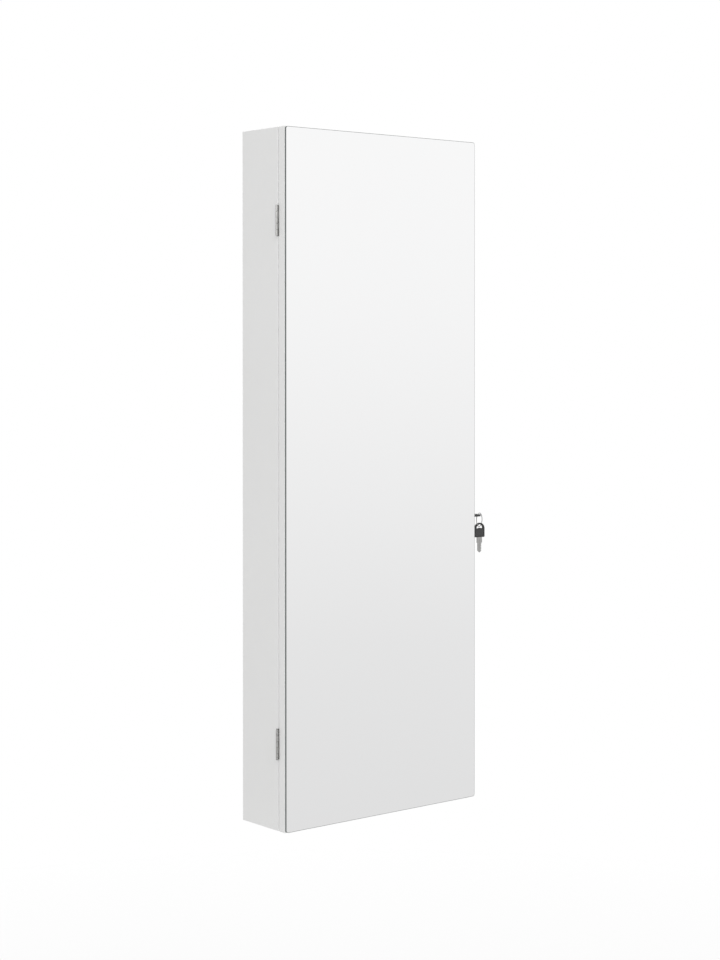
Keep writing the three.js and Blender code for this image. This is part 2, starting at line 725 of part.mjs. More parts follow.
function buildRingTray(group) {
  const left = -innerHalfWidth + fit;
  const right = -dividerThickness / 2 - fit;
  const x = (left + right) / 2;
  const trayWidth = right - left;
  const height = bayTop - bayBottom - 2 * fit;
  const rollPitch = (height - 2 * trayWall) / rollCount;
  const backY = liningFrontY - fit;
  const pocket = box(trayWidth - 2 * trayWall, 2 * (trayDepth - trayFloor), height - 2 * trayWall);
  const tray = cut(
    solid(box(trayWidth, trayDepth, height)),
    solid(pocket, 0, -trayDepth / 2, 0),
  );
  place(group, "ring_tray", geometryOf(tray), whitePaint, x, backY - trayDepth / 2, bayMiddleZ);

  const rollLength = trayWidth - 2 * trayWall - 2 * fit;
  const rollY = backY - trayFloor - fit - rollDepth / 2;
  for (let i = 0; i < rollCount; i++) {
    const roll = new THREE.CylinderGeometry(0.5, 0.5, rollLength, 20).rotateZ(Math.PI / 2);
    roll.scale(1, rollDepth, rollPitch - rollGap);
    const z = bayMiddleZ + (rollCount - 1 - 2 * i) * rollPitch / 2;
    place(group, `ring_roll_${i + 1}`, roll, blackVelvet, x, rollY, z);
  }
}

function buildEarringRack(group) {
  const left = dividerThickness / 2 + fit;
  const right = innerHalfWidth - fit;
  const backY = liningFrontY - fit;
  const height = bayTop - bayBottom - 2 * fit;
  for (const [name, x] of [
    ["earring_upright_left", left + uprightThickness / 2],
    ["earring_upright_right", right - uprightThickness / 2],
  ]) {
    const upright = board(uprightThickness, uprightDepth, height);
    place(group, name, upright, whitePaint, x, backY - uprightDepth / 2, bayMiddleZ);
  }
  const width = right - left;
  const half = width / 2;
  const notches = Math.floor((width - 2 * uprightThickness - earringNotchPitch) / earringNotchPitch) + 1;
  const top = earringBarHeight / 2;
  const points = [[-half, -top], [half, -top], [half, top]];
  for (let i = notches - 1; i >= 0; i--) {
    const middle = (i - (notches - 1) / 2) * earringNotchPitch;
    const a = middle + earringNotchWidth / 2;
    const b = middle - earringNotchWidth / 2;
    points.push([a, top], [a, top - earringNotchDepth], [b, top - earringNotchDepth], [b, top]);
  }
  points.push([-half, top]);
  const bar = slab(outlineOf(points), earringBarThickness).rotateX(Math.PI / 2);
  const barY = backY - uprightDepth - fit - earringBarThickness / 2;
  const earringBarPitch = (bayTop - bayBottom) / earringBarCount;
  for (let i = 0; i < earringBarCount; i++) {
    const z = bayMiddleZ + (earringBarCount - 1 - 2 * i) * earringBarPitch / 2;
    place(group, `earring_bar_${i + 1}`, bar.clone(), whitePaint, (left + right) / 2, barY, z);
  }
}

function buildBraceletRod(group) {
  const y = -rodFromBack;
  const z = middleShelfZ - shelfThickness / 2 - rodBelowShelf;
  const socket = turnedAlongX([
    [0, 0],
    [socketRadius, 0],
    [socketRadius, socketThickness],
    [rodRadius + runningGap, socketThickness],
    [rodRadius + runningGap, socketThickness - socketDepth],
    [0, socketThickness - socketDepth],
  ]);
  const x = innerHalfWidth - fit;
  place(group, "rod_socket_left", socket, whitePlastic, -x, y, z);
  place(group, "rod_socket_right", socket.clone().rotateZ(Math.PI), whitePlastic, x, y, z);
  const length = 2 * (x - socketThickness + socketDepth - fit);
  const rod = new THREE.CylinderGeometry(rodRadius, rodRadius, length, round).rotateZ(Math.PI / 2);
  place(group, "bracelet_rod", rod, blackVelvet, 0, y, z);
}

// ---- Assembly ----------------------------------------------------------------------
const cabinet = new THREE.Group();
const door = new THREE.Group();
const lockCore = new THREE.Group();
const keys = new THREE.Group();
const ring = new THREE.Group();
const spareKey = new THREE.Group();

buildCabinetBoards(cabinet);
buildBack(cabinet);
buildHangers(cabinet);
buildHinges(cabinet, door);
buildDoor(door);
buildStrikeAndCatch(cabinet, door);
buildLock(cabinet, lockCore);
buildKeys(keys, ring, spareKey);
buildShelves(cabinet);
buildNecklaceHooks(cabinet);
buildRingTray(cabinet);
buildEarringRack(cabinet);
buildBraceletRod(cabinet);

const assembly = new THREE.Group();
assembly.add(cabinet, door, lockCore, keys, ring, spareKey);
export default assembly;
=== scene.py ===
import json
import random
from math import pi, radians

import bmesh
import bpy
from mathutils import Matrix, Vector, noise


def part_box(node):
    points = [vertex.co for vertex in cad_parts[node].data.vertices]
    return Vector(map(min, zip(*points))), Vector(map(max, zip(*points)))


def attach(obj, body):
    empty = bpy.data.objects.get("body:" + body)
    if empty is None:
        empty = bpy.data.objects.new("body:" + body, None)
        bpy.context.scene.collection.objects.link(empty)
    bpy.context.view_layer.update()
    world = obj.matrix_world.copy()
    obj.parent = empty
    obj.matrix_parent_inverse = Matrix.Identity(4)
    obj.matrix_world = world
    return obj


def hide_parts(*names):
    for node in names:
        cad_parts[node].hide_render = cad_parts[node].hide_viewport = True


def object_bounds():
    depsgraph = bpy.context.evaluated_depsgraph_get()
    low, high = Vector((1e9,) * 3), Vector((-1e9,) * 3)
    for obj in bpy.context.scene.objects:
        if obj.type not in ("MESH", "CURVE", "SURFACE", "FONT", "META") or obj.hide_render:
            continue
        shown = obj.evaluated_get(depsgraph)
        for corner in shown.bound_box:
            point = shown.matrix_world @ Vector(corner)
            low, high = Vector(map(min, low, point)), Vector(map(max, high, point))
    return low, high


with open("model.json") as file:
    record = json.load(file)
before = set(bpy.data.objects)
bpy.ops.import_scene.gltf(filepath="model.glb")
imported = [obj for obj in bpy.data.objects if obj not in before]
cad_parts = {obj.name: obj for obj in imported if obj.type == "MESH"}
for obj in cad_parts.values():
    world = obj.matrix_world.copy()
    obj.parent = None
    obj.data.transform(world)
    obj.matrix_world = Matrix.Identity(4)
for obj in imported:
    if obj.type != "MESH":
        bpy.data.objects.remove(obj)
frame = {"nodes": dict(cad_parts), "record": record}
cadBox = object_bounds()
mm = 0.001
scene = bpy.context.scene
scene.view_settings.view_transform = "Standard"
sideways = Matrix.Rotation(pi / 2, 4, "Y")   # turns a shape made along Z to lie along X
frontways = Matrix.Rotation(pi / 2, 4, "X")  # turns a shape made along Z to lie along Y


# camera, at the photograph's place
cameraSettings = {
    "place": (-1929.6, -2471.6, 201.4),  # millimetres from the middle of the cabinet's back
    "yaw": 39.912,     # degrees to the right of straight on
    "pitch": -0.473,
    "lens": 73.4,
    "shift": (-0.0478, -0.1233),
}


def addCamera():
    data = bpy.data.cameras.new("studioCamera")
    data.lens = cameraSettings["lens"]
    data.shift_x, data.shift_y = cameraSettings["shift"]
    data.clip_end = 30
    camera = bpy.data.objects.new("studioCamera", data)
    camera.location = Vector(cameraSettings["place"]) * mm
    pitch, yaw = radians(cameraSettings["pitch"]), radians(cameraSettings["yaw"])
    camera.rotation_euler = (pi / 2 + pitch, 0, -yaw)
    scene.collection.objects.link(camera)
    scene.camera = camera


# shader groups, each used by several materials
def newGroup(name, inputs, outputName, outputKind):
    group = bpy.data.node_groups.new(name, "ShaderNodeTree")
    for socketName, kind, value in inputs:
        socket = group.interface.new_socket(socketName, in_out="INPUT", socket_type="NodeSocket" + kind)
        socket.default_value = value
    group.interface.new_socket(outputName, in_out="OUTPUT", socket_type="NodeSocket" + outputKind)
    return group, group.nodes.new("NodeGroupInput"), group.nodes.new("NodeGroupOutput")


def fill(tree, socket, value):
    # a number or a colour is set on the socket, and another node's output is linked to it
    if isinstance(value, (int, float)):
        socket.default_value = value
    elif isinstance(value, tuple):
        socket.default_value = (*value, 1)
    else:
        tree.links.new(value, socket)


def addNoise(tree, size, detail, rough=0.55):
    # clouds that are fixed to the object; their size is another node's socket
    texture = tree.nodes.new("ShaderNodeTexNoise")
    texture.inputs["Detail"].default_value = detail
    texture.inputs["Roughness"].default_value = rough
    tree.links.new(tree.nodes.new("ShaderNodeTexCoord").outputs["Object"], texture.inputs["Vector"])
    tree.links.new(size, texture.inputs["Scale"])
    return texture.outputs["Fac"]


def addNode(tree, kind, *values):
    # a node whose first sockets are filled
    node = tree.nodes.new("ShaderNode" + kind)
    for socket, value in zip(node.inputs, values):
        fill(tree, socket, value)
    return node


def addMath(tree, kind, *values):
    node = addNode(tree, "Math", *values)
    node.operation = kind
    return node.outputs["Value"]


def addRange(tree, *values):
    # a value and its two ends, then what these become where that isn't 0 and 1
    return addNode(tree, "MapRange", *values).outputs["Result"]


def addMix(tree, mask, first, second, blendType="MIX"):
    node = tree.nodes.new("ShaderNodeMix")
    node.data_type = "RGBA"
    node.blend_type = blendType
    for name, value in (("Factor_Float", mask), ("A_Color", first), ("B_Color", second)):
        fill(tree, next(s for s in node.inputs if s.identifier == name), value)
    return next(s for s in node.outputs if s.identifier == "Result_Color")


def lookedAt(tree):
    # whether a ray comes from the camera, and whether it comes by way of a mirror or glass
    path = tree.nodes.new("ShaderNodeLightPath").outputs
    mirrored = addMath(tree, "MAXIMUM", path["Is Glossy Ray"], path["Is Transmission Ray"])
    return path["Is Camera Ray"], mirrored


def makeToneDrift():
    # a colour that is a little lighter and darker over the surface
    group, inside, out = newGroup(
        "toneDrift",
        [("Colour", "Color", (0.8, 0.8, 0.8, 1)), ("Amount", "Float", 0.03), ("Size", "Float", 8.0)],
        "Colour", "Color")
    cloud = addNoise(group, inside.outputs["Size"], 5)
    swing = addRange(group, cloud, 0.3, 0.7, -1, 1)
    level = addMath(group, "MULTIPLY_ADD", swing, inside.outputs["Amount"], 1.0)
    scaled = addNode(group, "VectorMath", inside.outputs["Colour"])
    scaled.operation = "SCALE"
    group.links.new(level, scaled.inputs["Scale"])
    group.links.new(scaled.outputs["Vector"], out.inputs["Colour"])
    return group


def makeRoughDrift():
    # roughness with faint smears and rubbed patches
    group, inside, out = newGroup(
        "roughDrift",
        [("Roughness", "Float", 0.4), ("Amount", "Float", 0.08), ("Size", "Float", 20.0)],
        "Roughness", "Float")
    broad = addNoise(group, inside.outputs["Size"], 6, 0.65)
    swing = addRange(group, broad, 0.3, 0.7, -1, 1)
    level = addMath(group, "MULTIPLY_ADD", swing, inside.outputs["Amount"], inside.outputs["Roughness"])
    group.links.new(level, out.inputs["Roughness"])
    return group


def makeFineGrain():
    # the height of a fine even texture with a slower wave under it
    group, inside, out = newGroup(
        "fineGrain",
        [("Size", "Float", 900.0), ("Wave size", "Float", 90.0), ("Wave share", "Float", 0.5)],
        "Height", "Float")
    fine = addNoise(group, inside.outputs["Size"], 3)
    wave = addNoise(group, inside.outputs["Wave size"], 2)
    total = addMath(group, "MULTIPLY_ADD", wave, inside.outputs["Wave share"], fine)
    group.links.new(total, out.inputs["Height"])
    return group


toneDrift = makeToneDrift()
roughDrift = makeRoughDrift()
fineGrain = makeFineGrain()


def useGroup(tree, group, values):
    node = tree.nodes.new("ShaderNodeGroup")
    node.node_tree = group
    for name, value in values.items():
        fill(tree, node.inputs[name], value)
    return node


def newMaterial(name, settings):
    # every finish starts from the same three effects, with its own values
    material = bpy.data.materials.new(name)
    material.use_nodes = True
    tree = material.node_tree
    shader = tree.nodes["Principled BSDF"]
    tone = useGroup(tree, toneDrift, {
        "Colour": settings["colour"], "Amount": settings["drift"], "Size": settings["driftSize"]})
    rough = useGroup(tree, roughDrift, {
        "Roughness": settings["roughness"], "Amount": settings["roughDrift"], "Size": settings["roughSize"]})
    grain = useGroup(tree, fineGrain, {
        "Size": settings["grain"], "Wave size": settings["wave"], "Wave share": settings["waveShare"]})
    bump = tree.nodes.new("ShaderNodeBump")
    bump.inputs["Strength"].default_value = settings["bump"]
    bump.inputs["Distance"].default_value = settings["depth"] * mm
    tree.links.new(tone.outputs["Colour"], shader.inputs["Base Color"])
    tree.links.new(rough.outputs["Roughness"], shader.inputs["Roughness"])
    tree.links.new(grain.outputs["Height"], bump.inputs["Height"])
    tree.links.new(bump.outputs["Normal"], shader.inputs["Normal"])
    shader.inputs["Metallic"].default_value = settings.get("metallic", 0)
    for socketName, value in settings.get("sockets", {}).items():
        shader.inputs[socketName].default_value = value
    return material


# sizes in these dictionaries are noise scales per metre, and depth is in millimetres
lacquer = {
    "colour": (0.80, 0.80, 0.795), "drift": 0.012, "driftSize": 5.0,
    "roughness": 0.36, "roughDrift": 0.05, "roughSize": 14.0,
    "grain": 520.0, "wave": 70.0, "waveShare": 1.2, "bump": 0.25, "depth": 0.05,
}
backBoardPaint = {
    "colour": (0.66, 0.65, 0.62), "drift": 0.03, "driftSize": 9.0,
    "roughness": 0.6, "roughDrift": 0.06, "roughSize": 25.0,
    "grain": 1500.0, "wave": 160.0, "waveShare": 0.6, "bump": 0.4, "depth": 0.08,
}
silver = {
    "colour": (0.955, 0.955, 0.957), "drift": 0.002, "driftSize": 3.0,
    "roughness": 0.012, "roughDrift": 0.006, "roughSize": 9.0,
    "grain": 40.0, "wave": 4.0, "waveShare": 1.0, "bump": 0.01, "depth": 0.01, "metallic": 1.0,
}
groundGlass = {
    "colour": (0.155, 0.17, 0.165), "drift": 0.12, "driftSize": 60.0,
    "roughness": 0.5, "roughDrift": 0.08, "roughSize": 90.0,
    "grain": 2600.0, "wave": 500.0, "waveShare": 0.6, "bump": 0.5, "depth": 0.05,
}
polishedArris = {
    "colour": (0.14, 0.15, 0.15), "drift": 0.06, "driftSize": 90.0,
    "roughness": 0.5, "roughDrift": 0.06, "roughSize": 120.0,
    "grain": 1800.0, "wave": 400.0, "waveShare": 0.6, "bump": 0.2, "depth": 0.02,
    "sockets": {"Specular IOR Level": 0.2},
}
mirrorBacking = {
    "colour": (0.33, 0.35, 0.37), "drift": 0.05, "driftSize": 12.0,
    "roughness": 0.5, "roughDrift": 0.06, "roughSize": 30.0,
    "grain": 900.0, "wave": 120.0, "waveShare": 0.8, "bump": 0.3, "depth": 0.05,
}
nickelPlate = {
    "colour": (0.43, 0.427, 0.42), "drift": 0.05, "driftSize": 70.0,
    "roughness": 0.22, "roughDrift": 0.07, "roughSize": 160.0,
    "grain": 2400.0, "wave": 300.0, "waveShare": 0.7, "bump": 0.25, "depth": 0.02, "metallic": 1.0,
}
zincSteel = {
    "colour": (0.50, 0.52, 0.54), "drift": 0.10, "driftSize": 110.0,
    "roughness": 0.36, "roughDrift": 0.10, "roughSize": 130.0,
    "grain": 1800.0, "wave": 240.0, "waveShare": 0.8, "bump": 0.35, "depth": 0.03, "metallic": 1.0,
}
blackPlastic = {
    "colour": (0.028, 0.028, 0.029), "drift": 0.08, "driftSize": 60.0,
    "roughness": 0.26, "roughDrift": 0.06, "roughSize": 120.0,
    "grain": 3200.0, "wave": 700.0, "waveShare": 0.5, "bump": 0.5, "depth": 0.04,
}
gripPlastic = {
    "colour": (0.048, 0.048, 0.049), "drift": 0.12, "driftSize": 160.0,
    "roughness": 0.4, "roughDrift": 0.06, "roughSize": 200.0,
    "grain": 2600.0, "wave": 900.0, "waveShare": 0.5, "bump": 0.4, "depth": 0.04,
}
whitePlastic = {
    "colour": (0.74, 0.74, 0.71), "drift": 0.02, "driftSize": 40.0,
    "roughness": 0.4, "roughDrift": 0.05, "roughSize": 90.0,
    "grain": 2600.0, "wave": 500.0, "waveShare": 0.5, "bump": 0.3, "depth": 0.03,
}
velvet = {
    "colour": (0.016, 0.015, 0.017), "drift": 0.35, "driftSize": 22.0,
    "roughness": 0.95, "roughDrift": 0.04, "roughSize": 60.0,
    "grain": 2600.0, "wave": 340.0, "waveShare": 0.8, "bump": 0.9, "depth": 0.25,
    "sockets": {"Sheen Weight": 0.22, "Sheen Roughness": 0.45, "Sheen Tint": (0.55, 0.55, 0.6, 1)},
}
softRubber = {
    "colour": (0.72, 0.74, 0.74), "drift": 0.04, "driftSize": 120.0,
    "roughness": 0.22, "roughDrift": 0.05, "roughSize": 150.0,
    "grain": 1500.0, "wave": 260.0, "waveShare": 0.6, "bump": 0.2, "depth": 0.03,
    "sockets": {"Subsurface Weight": 0.3, "Subsurface Scale": 0.002},
}
magnetFerrite = {
    "colour": (0.045, 0.040, 0.037), "drift": 0.2, "driftSize": 200.0,
    "roughness": 0.6, "roughDrift": 0.1, "roughSize": 250.0,
    "grain": 3000.0, "wave": 600.0, "waveShare": 0.6, "bump": 0.6, "depth": 0.06,
}

lacquerMaterial = newMaterial("whiteLacquer", lacquer)
backBoardMaterial = newMaterial("paintedBackBoard", backBoardPaint)
silverMaterial = newMaterial("silveredGlass", silver)
groundGlassMaterial = newMaterial("groundGlassEdge", groundGlass)
polishedArrisMaterial = newMaterial("polishedArris", polishedArris)
mirrorBackingMaterial = newMaterial("mirrorBackingPaint", mirrorBacking)
nickelMaterial = newMaterial("nickelPlate", nickelPlate)
zincMaterial = newMaterial("zincPlatedSteel", zincSteel)
blackPlasticMaterial = newMaterial("blackKeyPlastic", blackPlastic)
gripMaterial = newMaterial("grainedGripPlastic", gripPlastic)
whitePlasticMaterial = newMaterial("whiteFittingPlastic", whitePlastic)
velvetMaterial = newMaterial("blackVelvet", velvet)
rubberMaterial = newMaterial("clearBumperRubber", softRubber)
ferriteMaterial = newMaterial("ferrite", magnetFerrite)
print("materials made")


# shared modelling steps, with lengths in millimetres
def bodyOf(node):
    return next(j for j, names in frame["record"]["behaviour"]["bodies"].items() if node in names)


def addBox(bm, low, high):
    low, high = Vector(low) * mm, Vector(high) * mm
    made = bmesh.ops.create_cube(bm, size=1)["verts"]
    bmesh.ops.scale(bm, vec=high - low, verts=made)
    bmesh.ops.translate(bm, vec=(low + high) / 2, verts=made)


def addRod(bm, radius, length, matrix=Matrix.Identity(4), sides=48):
    # a closed cylinder, centred and along Z before the matrix puts it in place
    bmesh.ops.create_cone(
        bm, cap_ends=True, cap_tris=False, segments=sides, radius1=radius * mm, radius2=radius * mm,
        depth=length * mm, matrix=matrix)


def softenEdges(bm, width, edges=None, segments=3, angle=30):
    if edges is None:
        edges = [e for e in bm.edges if len(e.link_faces) == 2 and e.calc_face_angle() > radians(angle)]
    bmesh.ops.bevel(
        bm, geom=edges, offset=width * mm, offset_type="OFFSET", segments=segments,
        profile=0.5, affect="EDGES", material=-1, clamp_overlap=True)


def meshFrom(bm, name, materials=()):
    bmesh.ops.remove_doubles(bm, verts=bm.verts, dist=1e-7)
    bmesh.ops.recalc_face_normals(bm, faces=bm.faces)
    mesh = bpy.data.meshes.new(name)
    bm.to_mesh(mesh)
    bm.free()
    for material in materials:
        mesh.materials.append(material)
    return mesh


def newObject(name, mesh):
    piece = bpy.data.objects.new(name, mesh)
    scene.collection.objects.link(piece)
    return piece


def carve(bm, cutter, operation="DIFFERENCE"):
    # cuts one closed shape from another, or joins them
    first = newObject("carved", meshFrom(bm, "carved"))
    second = newObject("cutter", meshFrom(cutter, "cutter"))
    step = first.modifiers.new("carve", "BOOLEAN")
    step.solver, step.operation, step.object = "EXACT", operation, second
    bpy.context.view_layer.update()
    carved = first.evaluated_get(bpy.context.evaluated_depsgraph_get())
    result = bmesh.new()
    result.from_mesh(carved.to_mesh())
    for used in (first, second):
        data = used.data
        bpy.data.objects.remove(used)
        bpy.data.meshes.remove(data)
    return result


def finishPiece(node, bm, *materials, smooth=35, name=None, slotName=None):
    # stands for a CAD node and hides it, or, when a slotName is given, only rides on that node's body and
    # leaves the node shown
    name = name or camelName(node)
    mesh = meshFrom(bm, name, materials)
    mesh.polygons.foreach_set("use_smooth", [True] * len(mesh.polygons))
    mesh.set_sharp_from_angle(angle=radians(smooth))
    piece = newObject(name, mesh)
    piece.modifiers.new("evenNormals", "WEIGHTED_NORMAL").keep_sharp = True
    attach(piece, bodyOf(node))
    if not slotName:
        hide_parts(node)
    return piece


def camelName(node):
    words = node.split("_")
    return words[0] + "".join(w.capitalize() for w in words[1:]) + "Piece"


def mergeFlatFaces(bm):
    bmesh.ops.remove_doubles(bm, verts=bm.verts, dist=1e-6)
    bmesh.ops.dissolve_limit(bm, angle_limit=radians(0.5), verts=bm.verts, edges=bm.edges, delimit=set())


def copyOfNode(node):
    # the CAD solid's shape as one clean mesh, with its flat faces whole again
    bm = bmesh.new()
    bm.from_mesh(frame["nodes"][node].data)
    mergeFlatFaces(bm)
    return bm


def softenedNode(node, material, width, segments=2):
    bm = copyOfNode(node)
    softenEdges(bm, width, segments=segments)
    finishPiece(node, bm, material)


def spanOf(node):
    # a CAD node's lowest, highest and middle point
    low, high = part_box(node)
    return low / mm, high / mm, (low + high) / 2 / mm


# painted boards
boards = {
    "softening": 0.2,  # each arris of a board is rounded by this much more
    "lacquered": [
        "side_panel_left", "side_panel_right", "top_panel", "bottom_panel", "door_panel", "upper_shelf",
        "middle_shelf", "lower_shelf_1", "lower_shelf_2", "lower_shelf_3", "shelf_rail_1", "shelf_rail_2",
        "shelf_rail_3", "centre_divider", "earring_upright_left", "earring_upright_right", "earring_bar_1",
        "earring_bar_2", "earring_bar_3", "earring_bar_4", "ring_tray",
    ],
    "plain": ["back_panel", "hanging_rail"],
}


def makeBoards():
    for node in boards["lacquered"]:
        board = copyOfNode(node)
        if node in ("door_panel", "side_panel_left"):
            board = carve(board, hingeRecesses())
            mergeFlatFaces(board)
        softenEdges(board, boards["softening"], segments=2)
        finishPiece(node, board, lacquerMaterial)
    for node in boards["plain"]:
        softenedNode(node, backBoardMaterial, boards["softening"] / 2)


# turned, cut and joined shapes, all in millimetres
def lathe(profile, steps=48):
    # (radius, distance) points spun about Z; a profile that starts on the axis stays open there
    bm = bmesh.new()
    points = [bm.verts.new((radius * mm, 0, distance * mm)) for radius, distance in profile]
    ends = points[1:] + points[:1] if profile[0][0] > 0 else points[1:]
    edges = [bm.edges.new(pair) for pair in zip(points, ends)]
    bmesh.ops.spin(
        bm, geom=points + edges, cent=(0, 0, 0), axis=(0, 0, 1), angle=2 * pi, steps=steps, use_merge=True)
    bmesh.ops.remove_doubles(bm, verts=bm.verts, dist=1e-7)
    bmesh.ops.recalc_face_normals(bm, faces=bm.faces)
    return bm


def plainRod(radius, low, high, steps):
    return lathe([(0, low), (radius, low), (radius, high), (0, high)], steps)


def roundedRod(radius, low, high, rim, steps):
    slope = rim * 0.3
    return lathe([
        (0, low), (radius - rim, low), (radius - slope, low + slope), (radius, low + rim),
        (radius, high - rim), (radius - slope, high - slope), (radius - rim, high), (0, high)], steps)


def plateFrom(points, thickness):
    # an outline of (x, y) points, raised by a thickness along Z and centred on it
    bm = bmesh.new()
    face = bm.faces.new([bm.verts.new((x * mm, y * mm, -thickness * mm / 2)) for x, y in points])
    raised = bmesh.ops.extrude_face_region(bm, geom=[face])["geom"]
    upper = [v for v in raised if isinstance(v, bmesh.types.BMVert)]
    bmesh.ops.translate(bm, vec=(0, 0, thickness * mm), verts=upper)
    bmesh.ops.recalc_face_normals(bm, faces=bm.faces)
    return bm


def roundedBox(low, high, corner, along, segments=6, where=None):
    # a box whose edges along one axis are rounded, or only those that where picks
    bm = bmesh.new()
    addBox(bm, low, high)
    picked = [e for e in bm.edges if abs((e.verts[0].co - e.verts[1].co)[along]) > 1e-7]
    if where:
        picked = [e for e in picked if where((e.verts[0].co + e.verts[1].co) / 2 / mm)]
    softenEdges(bm, corner, edges=picked, segments=segments)
    return bm


def moved(shape, matrix):
    bmesh.ops.transform(shape, matrix=matrix, verts=shape.verts)
    return shape


def addShape(bm, shape, matrix=Matrix.Identity(4)):
    # puts a copy of one shape into another without joining their faces
    part = meshFrom(moved(shape.copy(), matrix), "part")
    bm.from_mesh(part)
    bpy.data.meshes.remove(part)


def at(*place):
    return Matrix.Translation(Vector(place) * mm)


def facing(direction):
    return Vector(direction).to_track_quat("Z", "Y").to_matrix().to_4x4()


# mirror
mirror = {"corner": 4.0, "arrisWidth": 0.6, "arrisDepth": 0.2, "backArris": 0.2}


def makeMirror():
    low, high, middle = spanOf("mirror_glass")
    bm = roundedBox(low, high, mirror["corner"], 1, 12)
    bm.normal_update()
    front = min(bm.faces, key=lambda f: f.calc_center_median().y)
    back = max(bm.faces, key=lambda f: f.calc_center_median().y)
    softenEdges(bm, mirror["backArris"], edges=list(back.edges), segments=1)
    bmesh.ops.inset_region(bm, faces=[front], thickness=mirror["arrisWidth"] * mm, use_even_offset=True)
    outer = [v for v in bm.verts if v.co.y < low.y * mm + 1e-6 and v not in front.verts]
    bmesh.ops.translate(bm, vec=(0, mirror["arrisDepth"] * mm, 0), verts=outer)
    for face in bm.faces:
        face.material_index = 1
        if abs(face.normal.y) > 0.99 and face.calc_area() > 0.1:
            face.material_index = 0 if face.calc_center_median().y < middle.y * mm else 2
        elif face.normal.y < -0.1:
            face.material_index = 3
    finishPiece(
        "mirror_glass", bm, silverMaterial, groundGlassMaterial, mirrorBackingMaterial,
        polishedArrisMaterial, smooth=10, name="mirrorPane")


makeMirror()
print("mirror made")


# flat screw heads
screw = {"crossLength": 1.25, "crossWidth": 0.3, "crossDepth": 0.55, "headDepth": 0.6, "below": 0.08}


def screwHead(radius):
    # the head's face lies at zero and looks along Z; sizes are shares of its radius
    head = lathe([
        (0, -screw["headDepth"] * radius), (radius * 0.4, -screw["headDepth"] * radius),
        (radius, -0.12 * radius), (radius * 0.97, -0.03 * radius), (radius * 0.9, 0), (0, 0)], 28)
    length, width = screw["crossLength"] * radius / 2, screw["crossWidth"] * radius / 2
    for turn in (0, pi / 2):
        slot = bmesh.new()
        addBox(slot, (-length, -width, -screw["crossDepth"] * radius), (length, width, radius))
        head = carve(head, moved(slot, Matrix.Rotation(turn, 4, "Z")))
    return head


def sinkScrews(bm, name, node, spots, outward, radius, material=zincMaterial):
    # lets countersinks into a plate and fills them with a piece of flat screw heads
    turn = facing(outward)
    heads, sinks, head = bmesh.new(), bmesh.new(), screwHead(radius)
    wide = radius + 0.12
    cone = lathe([(0, -radius * 0.7), (wide * 0.35, -radius * 0.7), (wide, -0.05), (wide, 1), (0, 1)], 28)
    for spot in spots:
        addShape(sinks, cone, at(*spot) @ turn)
        turned = Matrix.Rotation(random.uniform(0, pi / 2), 4, "Z")
        addShape(heads, head, at(*spot) @ turn @ at(0, 0, -screw["below"]) @ turned)
    finishPiece(node, heads, material, name=name, slotName="steel")
    return carve(bm, sinks)


def aboveAndBelow(x, y, z, apart):
    return [(x, y, z + end * apart) for end in (-1, 1)]


# butt hinges
hinge = {
    "length": 45.3, "knuckles": 5, "knuckleGap": 0.3, "barrelRadius": 1.9, "barrelRound": 0.25,
    "axis": (-192.6, -93.5), "heights": {"upper": 389.0, "lower": -398.5},
    "reach": 13.1,     # from the axis to the leaf's far edge
    "leafThickness": 1.2, "leafGap": 0.3, "leafCorner": 2.0, "bore": 1.2, "clearance": 0.3,
    "pinRadius": 0.9, "pinHead": 1.5, "pinHeadHeight": 0.8,
    "recessHalfWidth": 1.75, "recessDepth": 5.0, "recessPast": 0.6,
    "screwRadius": 2.0, "screwPlaces": ((7.6, -15.0), (9.6, 0.0), (7.6, 15.0)),
}


def makeHingeLeaf(height, side):
    # side 1 is the cabinet's leaf, behind the gap, and -1 the door's
    node = f"hinge_{height}_" + ("cabinet_leaf" if side > 0 else "door_leaf")
    half, pitch = hinge["length"] / 2, hinge["length"] / hinge["knuckles"]
    gap, near = hinge["knuckleGap"] / 2, side * hinge["leafGap"] / 2
    far = near + side * hinge["leafThickness"]
    leaf = roundedBox(
        (0, min(near, far), -half), (hinge["reach"], max(near, far), half), hinge["leafCorner"], 1,
        where=lambda middle: middle.x > hinge["reach"] / 2)
    own, others = bmesh.new(), bmesh.new()
    for i in range(hinge["knuckles"]):
        low, high = -half + i * pitch, -half + (i + 1) * pitch
        if (i % 2 == 0) == (side > 0):
            low += gap if i else 0
            high -= gap if i < hinge["knuckles"] - 1 else 0
            addShape(own, roundedRod(hinge["barrelRadius"], low, high, hinge["barrelRound"], 40))
        else:
            radius = hinge["barrelRadius"] + hinge["clearance"]
            addShape(others, plainRod(radius, low - gap, high + gap, 40))
    leaf = carve(carve(leaf, others), own, "UNION")
    leaf = carve(leaf, plainRod(hinge["bore"], -half - 1, half + 1, 24))
    x, y = hinge["axis"]
    z = hinge["heights"][height]
    leaf = moved(leaf, at(x, y, z))
    # the screws sit in the face that the other leaf closes on
    spots = [(x + across, y + near, z + up) for across, up in hinge["screwPlaces"]]
    leaf = sinkScrews(leaf, camelName(node) + "Screws", node, spots, (0, -side, 0), hinge["screwRadius"])
    finishPiece(node, leaf, nickelMaterial)


def makeHinges():
    half = hinge["length"] / 2 + hinge["clearance"]
    top, wide, slim = half + hinge["pinHeadHeight"], hinge["pinHead"], hinge["pinRadius"]
    pin = lathe([
        (0, -top), (wide * 0.7, -top), (wide, -top + 0.3), (wide, -half), (slim, -half),
        (slim, half), (wide, half), (wide, top - 0.3), (wide * 0.7, top), (0, top)], 32)
    for height, z in hinge["heights"].items():
        for side in (1, -1):
            makeHingeLeaf(height, side)
        finishPiece(f"hinge_{height}_pin", moved(pin.copy(), at(*hinge["axis"], z)), nickelMaterial)


